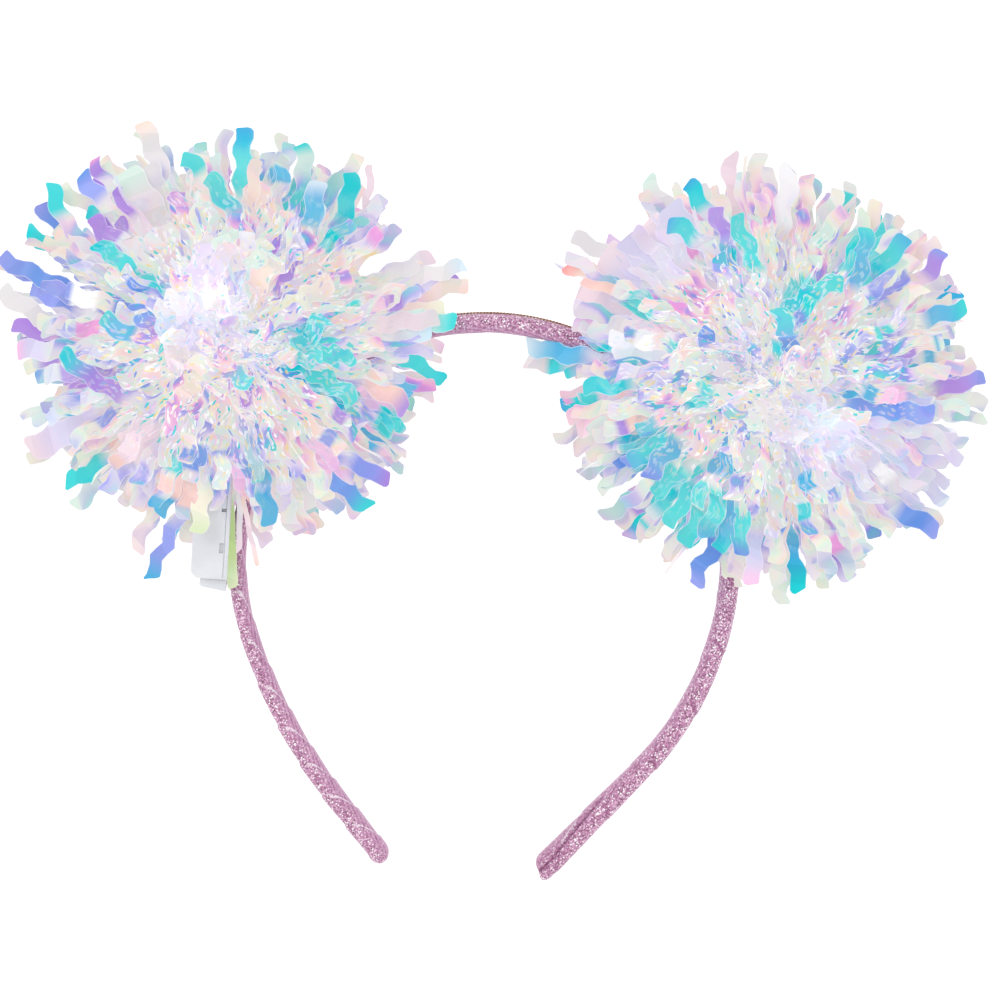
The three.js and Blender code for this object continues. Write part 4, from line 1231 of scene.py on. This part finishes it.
filmMaterial = slitIridescentFilm(iridescentFilm)
for ball in tinselBall["balls"]:
    rows = readChart(accentColumns, accentRows[ball["side"]])
    patches = readChart(colourColumns, colourPatches[ball["side"]])
    layers = {
        "tinsel_": cutStrips(tinselBall, looseStrips(tinselBall, ball, rows)),
        "tinsel_bright_": cutStrips(tinselBall, chartedStrips(tinselBall, ball, rows)),
    }
    for label, strips in layers.items():
        points, stations, run = stripSurface(tinselBall, strips)
        count, rings = points.shape[:2]
        colours, slick = stripTints(tinselBall, strips, stations)
        middles = points[:, :, 2]
        share = np.hypot(middles[..., 0] - ball["x"], middles[..., 1] - ball["y"]) / tinselBall["reach"]
        slick = slick * (1 - tinselBall["rimSlick"] * ease(*tinselBall["rimFade"], share))
        if label == "tinsel_":
            colours, slick = stretchTints(tinselBall, colours, slick, stations)
            colours, slick = patchTints(tinselBall, colours, slick, middles, ball, patches)
        tints = np.ones((count, rings, 3, 4))
        tints[..., :3] = colours[:, :, None, :]
        uv = np.zeros((count, rings, 3, 2))
        uv[..., 0] = run[:, :, None] + tinselBall["stripApart"] * np.arange(count)[:, None, None]
        uv[..., 1] = np.array([0.0, 1.0, 0.5])
        shift = np.repeat(random.normal(0, iridescentFilm["stripShift"], count)[:, None], rings, axis=1)
        perRing = {"crease": 1 - ease(*tinselBall["creaseFade"], share), "slick": slick, "shift": shift,
                   "glow": beadGlow(iridescentFilm, middles),
                   "heart": tinselBall["heartGlow"] * (1 - ease(*tinselBall["heartFade"], share))}
        values = {key: np.repeat(numbers, 3) for key, numbers in perRing.items()}
        piece = makePiece(label + ball["side"], points.reshape(-1, 3), stripFaces(count, rings),
                          filmMaterial, uv=uv.reshape(-1, 2),
                          tints=tints.reshape(-1, 4), values=values)
        if label == "tinsel_":
            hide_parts("tinsel_pom_" + ball["side"])
        print(piece.name, "strips:", count)

# Finishes of the small parts: two close tones in soft patches, and a fine grain
smallFinishes = {
    "wire": {"name": "lacqueredCopper", "tones": ("#8F6347", "#A77A5B"), "patch": 2.0, "grain": 0.2,
             "depth": 0.004, "metal": 1.0, "rough": 0.38},
    "casing": {"name": "mouldedFrostedAbs", "tones": ("#D6D8DD", "#DEE0E4"), "patch": 7.0, "grain": 0.35,
               "depth": 0.02, "metal": 0.0, "rough": 0.45},
    "cells": {"name": "nickelPlatedSteel", "tones": ("#A9ACB1", "#BFC2C6"), "patch": 4.0, "grain": 0.3,
              "depth": 0.006, "metal": 1.0, "rough": 0.27},
}
finishGrain = {
    "detail": 2.0,
    "toneStops": (0.35, 0.65),
    "grainRange": (0.3, 0.7),
    "roughSpread": 0.05,
    "bump": 0.4,
}


# lacquered copper is brown with a soft shine, frosted ABS is off-white and even with a fine tooth, and
# nickel plate is grey and mirror-like: noise picks between two tones, and finer noise roughens the surface
def smallFinish(finish):
    material, tree = startMaterial(finish["name"])
    place = addNode(tree, "ShaderNodeTexCoord")
    clouds, grain = (
        addNode(tree, "ShaderNodeTexNoise", fed={"Vector": place.outputs["Object"]},
                plain={"Scale": 1 / (finish[size] * millimetre), "Detail": finishGrain["detail"]})
        for size in ("patch", "grain"))
    tones = addNode(tree, "ShaderNodeValToRGB", fed={"Fac": clouds.outputs["Fac"]})
    fillRamp(tones.color_ramp, zip(finishGrain["toneStops"], finish["tones"]))
    low, high = finishGrain["grainRange"]
    spread = finishGrain["roughSpread"]
    rough = addNode(tree, "ShaderNodeMapRange", fed={0: grain.outputs["Fac"]},
                    plain={1: low, 2: high, 3: finish["rough"] - spread, 4: finish["rough"] + spread})
    bump = addNode(tree, "ShaderNodeBump", fed={"Height": grain.outputs["Fac"]}, plain={
        "Strength": finishGrain["bump"], "Distance": finish["depth"] * millimetre})
    shader = addNode(tree, "ShaderNodeBsdfPrincipled", plain={"Metallic": finish["metal"]},
                     fed={"Base Color": tones.outputs["Color"], "Roughness": rough.outputs[0],
                          "Normal": bump.outputs["Normal"]})
    addNode(tree, "ShaderNodeOutputMaterial", fed={"Surface": shader.outputs[0]})
    return material


# Wire: two fine lacquered strands twisted together, from the case to the left bead and on over the crown
twistedPair = {
    "strandRadius": 0.12,
    "apart": 0.13,             # of each strand from the middle of the pair
    "twistPitch": 1.8,
    "ringStep": 0.25,
    "sides": 6,
    "perPiece": 40,
    "edgeGap": 0.2,            # of the middle of the pair from the band's outer edge
    "crown": {"from": 172, "to": 244, "every": 6, "lift": 4},
    "straightRun": 8.0,
    "beadClear": 0.35,
    "caseExit": (-73.886, 11.735, 19.494),
    "caseAxis": (0.06105, 0.98842, 0.13891),
    "caseRun": 7.65,
}


# a point on a bead's axis, past its near end (-1) or its far end (+1)
def beadAxisPoint(settings, bead, end, past):
    heading = math.radians(bead["heading"])
    reach = end * (lightBead["length"] / 2 + settings["beadClear"] + past)
    return [bead["x"] + reach * math.cos(heading), bead["y"] + reach * math.sin(heading), bead["z"]]


# the points of each wire: out of the case and into a bead, or out of a bead, along the outer edge of the
# band's crown, lifted off it at both ends, and into the other bead
def wireRoutes(settings):
    left, right = lightBead["beads"]
    run = settings["straightRun"]
    start = np.array(settings["caseExit"])
    arrive = [beadAxisPoint(settings, left, -1, past) for past in (run, 0)]
    leave = [beadAxisPoint(settings, left, 1, past) for past in (0, run)]
    last = [beadAxisPoint(settings, right, -1, past) for past in (run, 0)]
    lead = [start, start + settings["caseRun"] * np.array(settings["caseAxis"]), *arrive]
    crown = settings["crown"]
    along = np.arange(crown["from"] - crown["every"], crown["to"] + 1.5 * crown["every"], crown["every"])
    lift = np.zeros(len(along))
    lift[[0, -1]] = crown["lift"]
    rows = ribbonBand["sections"]
    thick = np.interp(along, [row["along"] for row in rows], [row["thick"] for row in rows])
    x, y, heading = bandCourse(ribbonBand, along)
    out = thick / 2 + settings["edgeGap"] + lift
    edge = bandPlane(ribbonBand, x - out * np.sin(heading), y + out * np.cos(heading), lift)
    return {"lead": np.array(lead), "arch": np.concatenate([leave, edge, last])}


# cubic pieces through the points, with knots at the square roots of their distances, then even steps
def smoothRoute(settings, points):
    wide = np.concatenate([2 * points[:1] - points[1:2], points, 2 * points[-1:] - points[-2:-1]])
    gaps = np.sqrt(np.linalg.norm(np.diff(wide, axis=0), axis=-1, keepdims=True))
    before, here, after = gaps[:-2], gaps[1:-1], gaps[2:]
    p0, p1, p2, p3 = wide[:-3], wide[1:-2], wide[2:-1], wide[3:]
    slope1 = ((p1 - p0) / before - (p2 - p0) / (before + here) + (p2 - p1) / here) * here
    slope2 = ((p2 - p1) / here - (p3 - p1) / (here + after) + (p3 - p2) / after) * here
    t = np.linspace(0, 1, settings["perPiece"], endpoint=False)[None, :, None]
    square = (3 * (p2 - p1) - 2 * slope1 - slope2)[:, None]
    cube = (2 * (p1 - p2) + slope1 + slope2)[:, None]
    curve = (p1[:, None] + slope1[:, None] * t + square * t ** 2 + cube * t ** 3).reshape(-1, 3)
    curve = np.concatenate([curve, points[-1:]])
    run = np.concatenate([[0], np.cumsum(np.linalg.norm(np.diff(curve, axis=0), axis=-1))])
    even = np.linspace(0, run[-1], int(run[-1] / settings["ringStep"]))
    return np.stack([np.interp(even, run, curve[:, axis]) for axis in range(3)], axis=-1), even


# two round tubes that wind about the route, half a turn apart, each with closed ends
def strandSurface(settings, route, run):
    tangent = unit(np.gradient(route, axis=0))
    side = unit(np.cross(tangent, [0.0, 0.0, 1.0]))
    up = np.cross(side, tangent)
    opposite = np.array([0, math.pi])[:, None, None]
    turn = (2 * math.pi * run / settings["twistPitch"])[None, :, None] + opposite
    middle = route + settings["apart"] * (side * np.cos(turn) + up * np.sin(turn))
    angle = np.linspace(0, 2 * math.pi, settings["sides"], endpoint=False)[:, None]
    rim = settings["strandRadius"] * (side[:, None] * np.cos(angle) + up[:, None] * np.sin(angle))
    points = middle[:, :, None] + rim[None]
    rings, sides = points.shape[1:3]
    start = (np.arange(2) * rings * sides)[:, None, None]
    quads = (gridQuads(rings, sides, True)[None, :, ::-1] + start).reshape(-1, 4)
    ends = np.stack([np.arange(sides), np.arange(sides)[::-1] + (rings - 1) * sides])
    return points.reshape(-1, 3), [quads, (ends[None] + start).reshape(-1, sides)]


wireMaterial = smallFinish(smallFinishes["wire"])
for label, points in wireRoutes(twistedPair).items():
    route, run = smoothRoute(twistedPair, points)
    wirePoints, wireFaces = strandSurface(twistedPair, route, run)
    wire = makePiece("wire_" + label, wirePoints, wireFaces, wireMaterial)
    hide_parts("led_wire_" + label)
    print(wire.name, "length in mm:", round(run[-1], 1))

# Case, drawer and cells keep the frame's own shapes
shapeFinishes = {"battery_case": "casing", "battery_tray": "casing", "coin_cell_outer": "cells",
                 "coin_cell_inner": "cells"}
nodeMaterials = {key: smallFinish(smallFinishes[key]) for key in ("casing", "cells")}
for name, key in shapeFinishes.items():
    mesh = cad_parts[name].data
    mesh.materials.clear()
    mesh.materials.append(nodeMaterials[key])
print("wire, case and drawer finished")
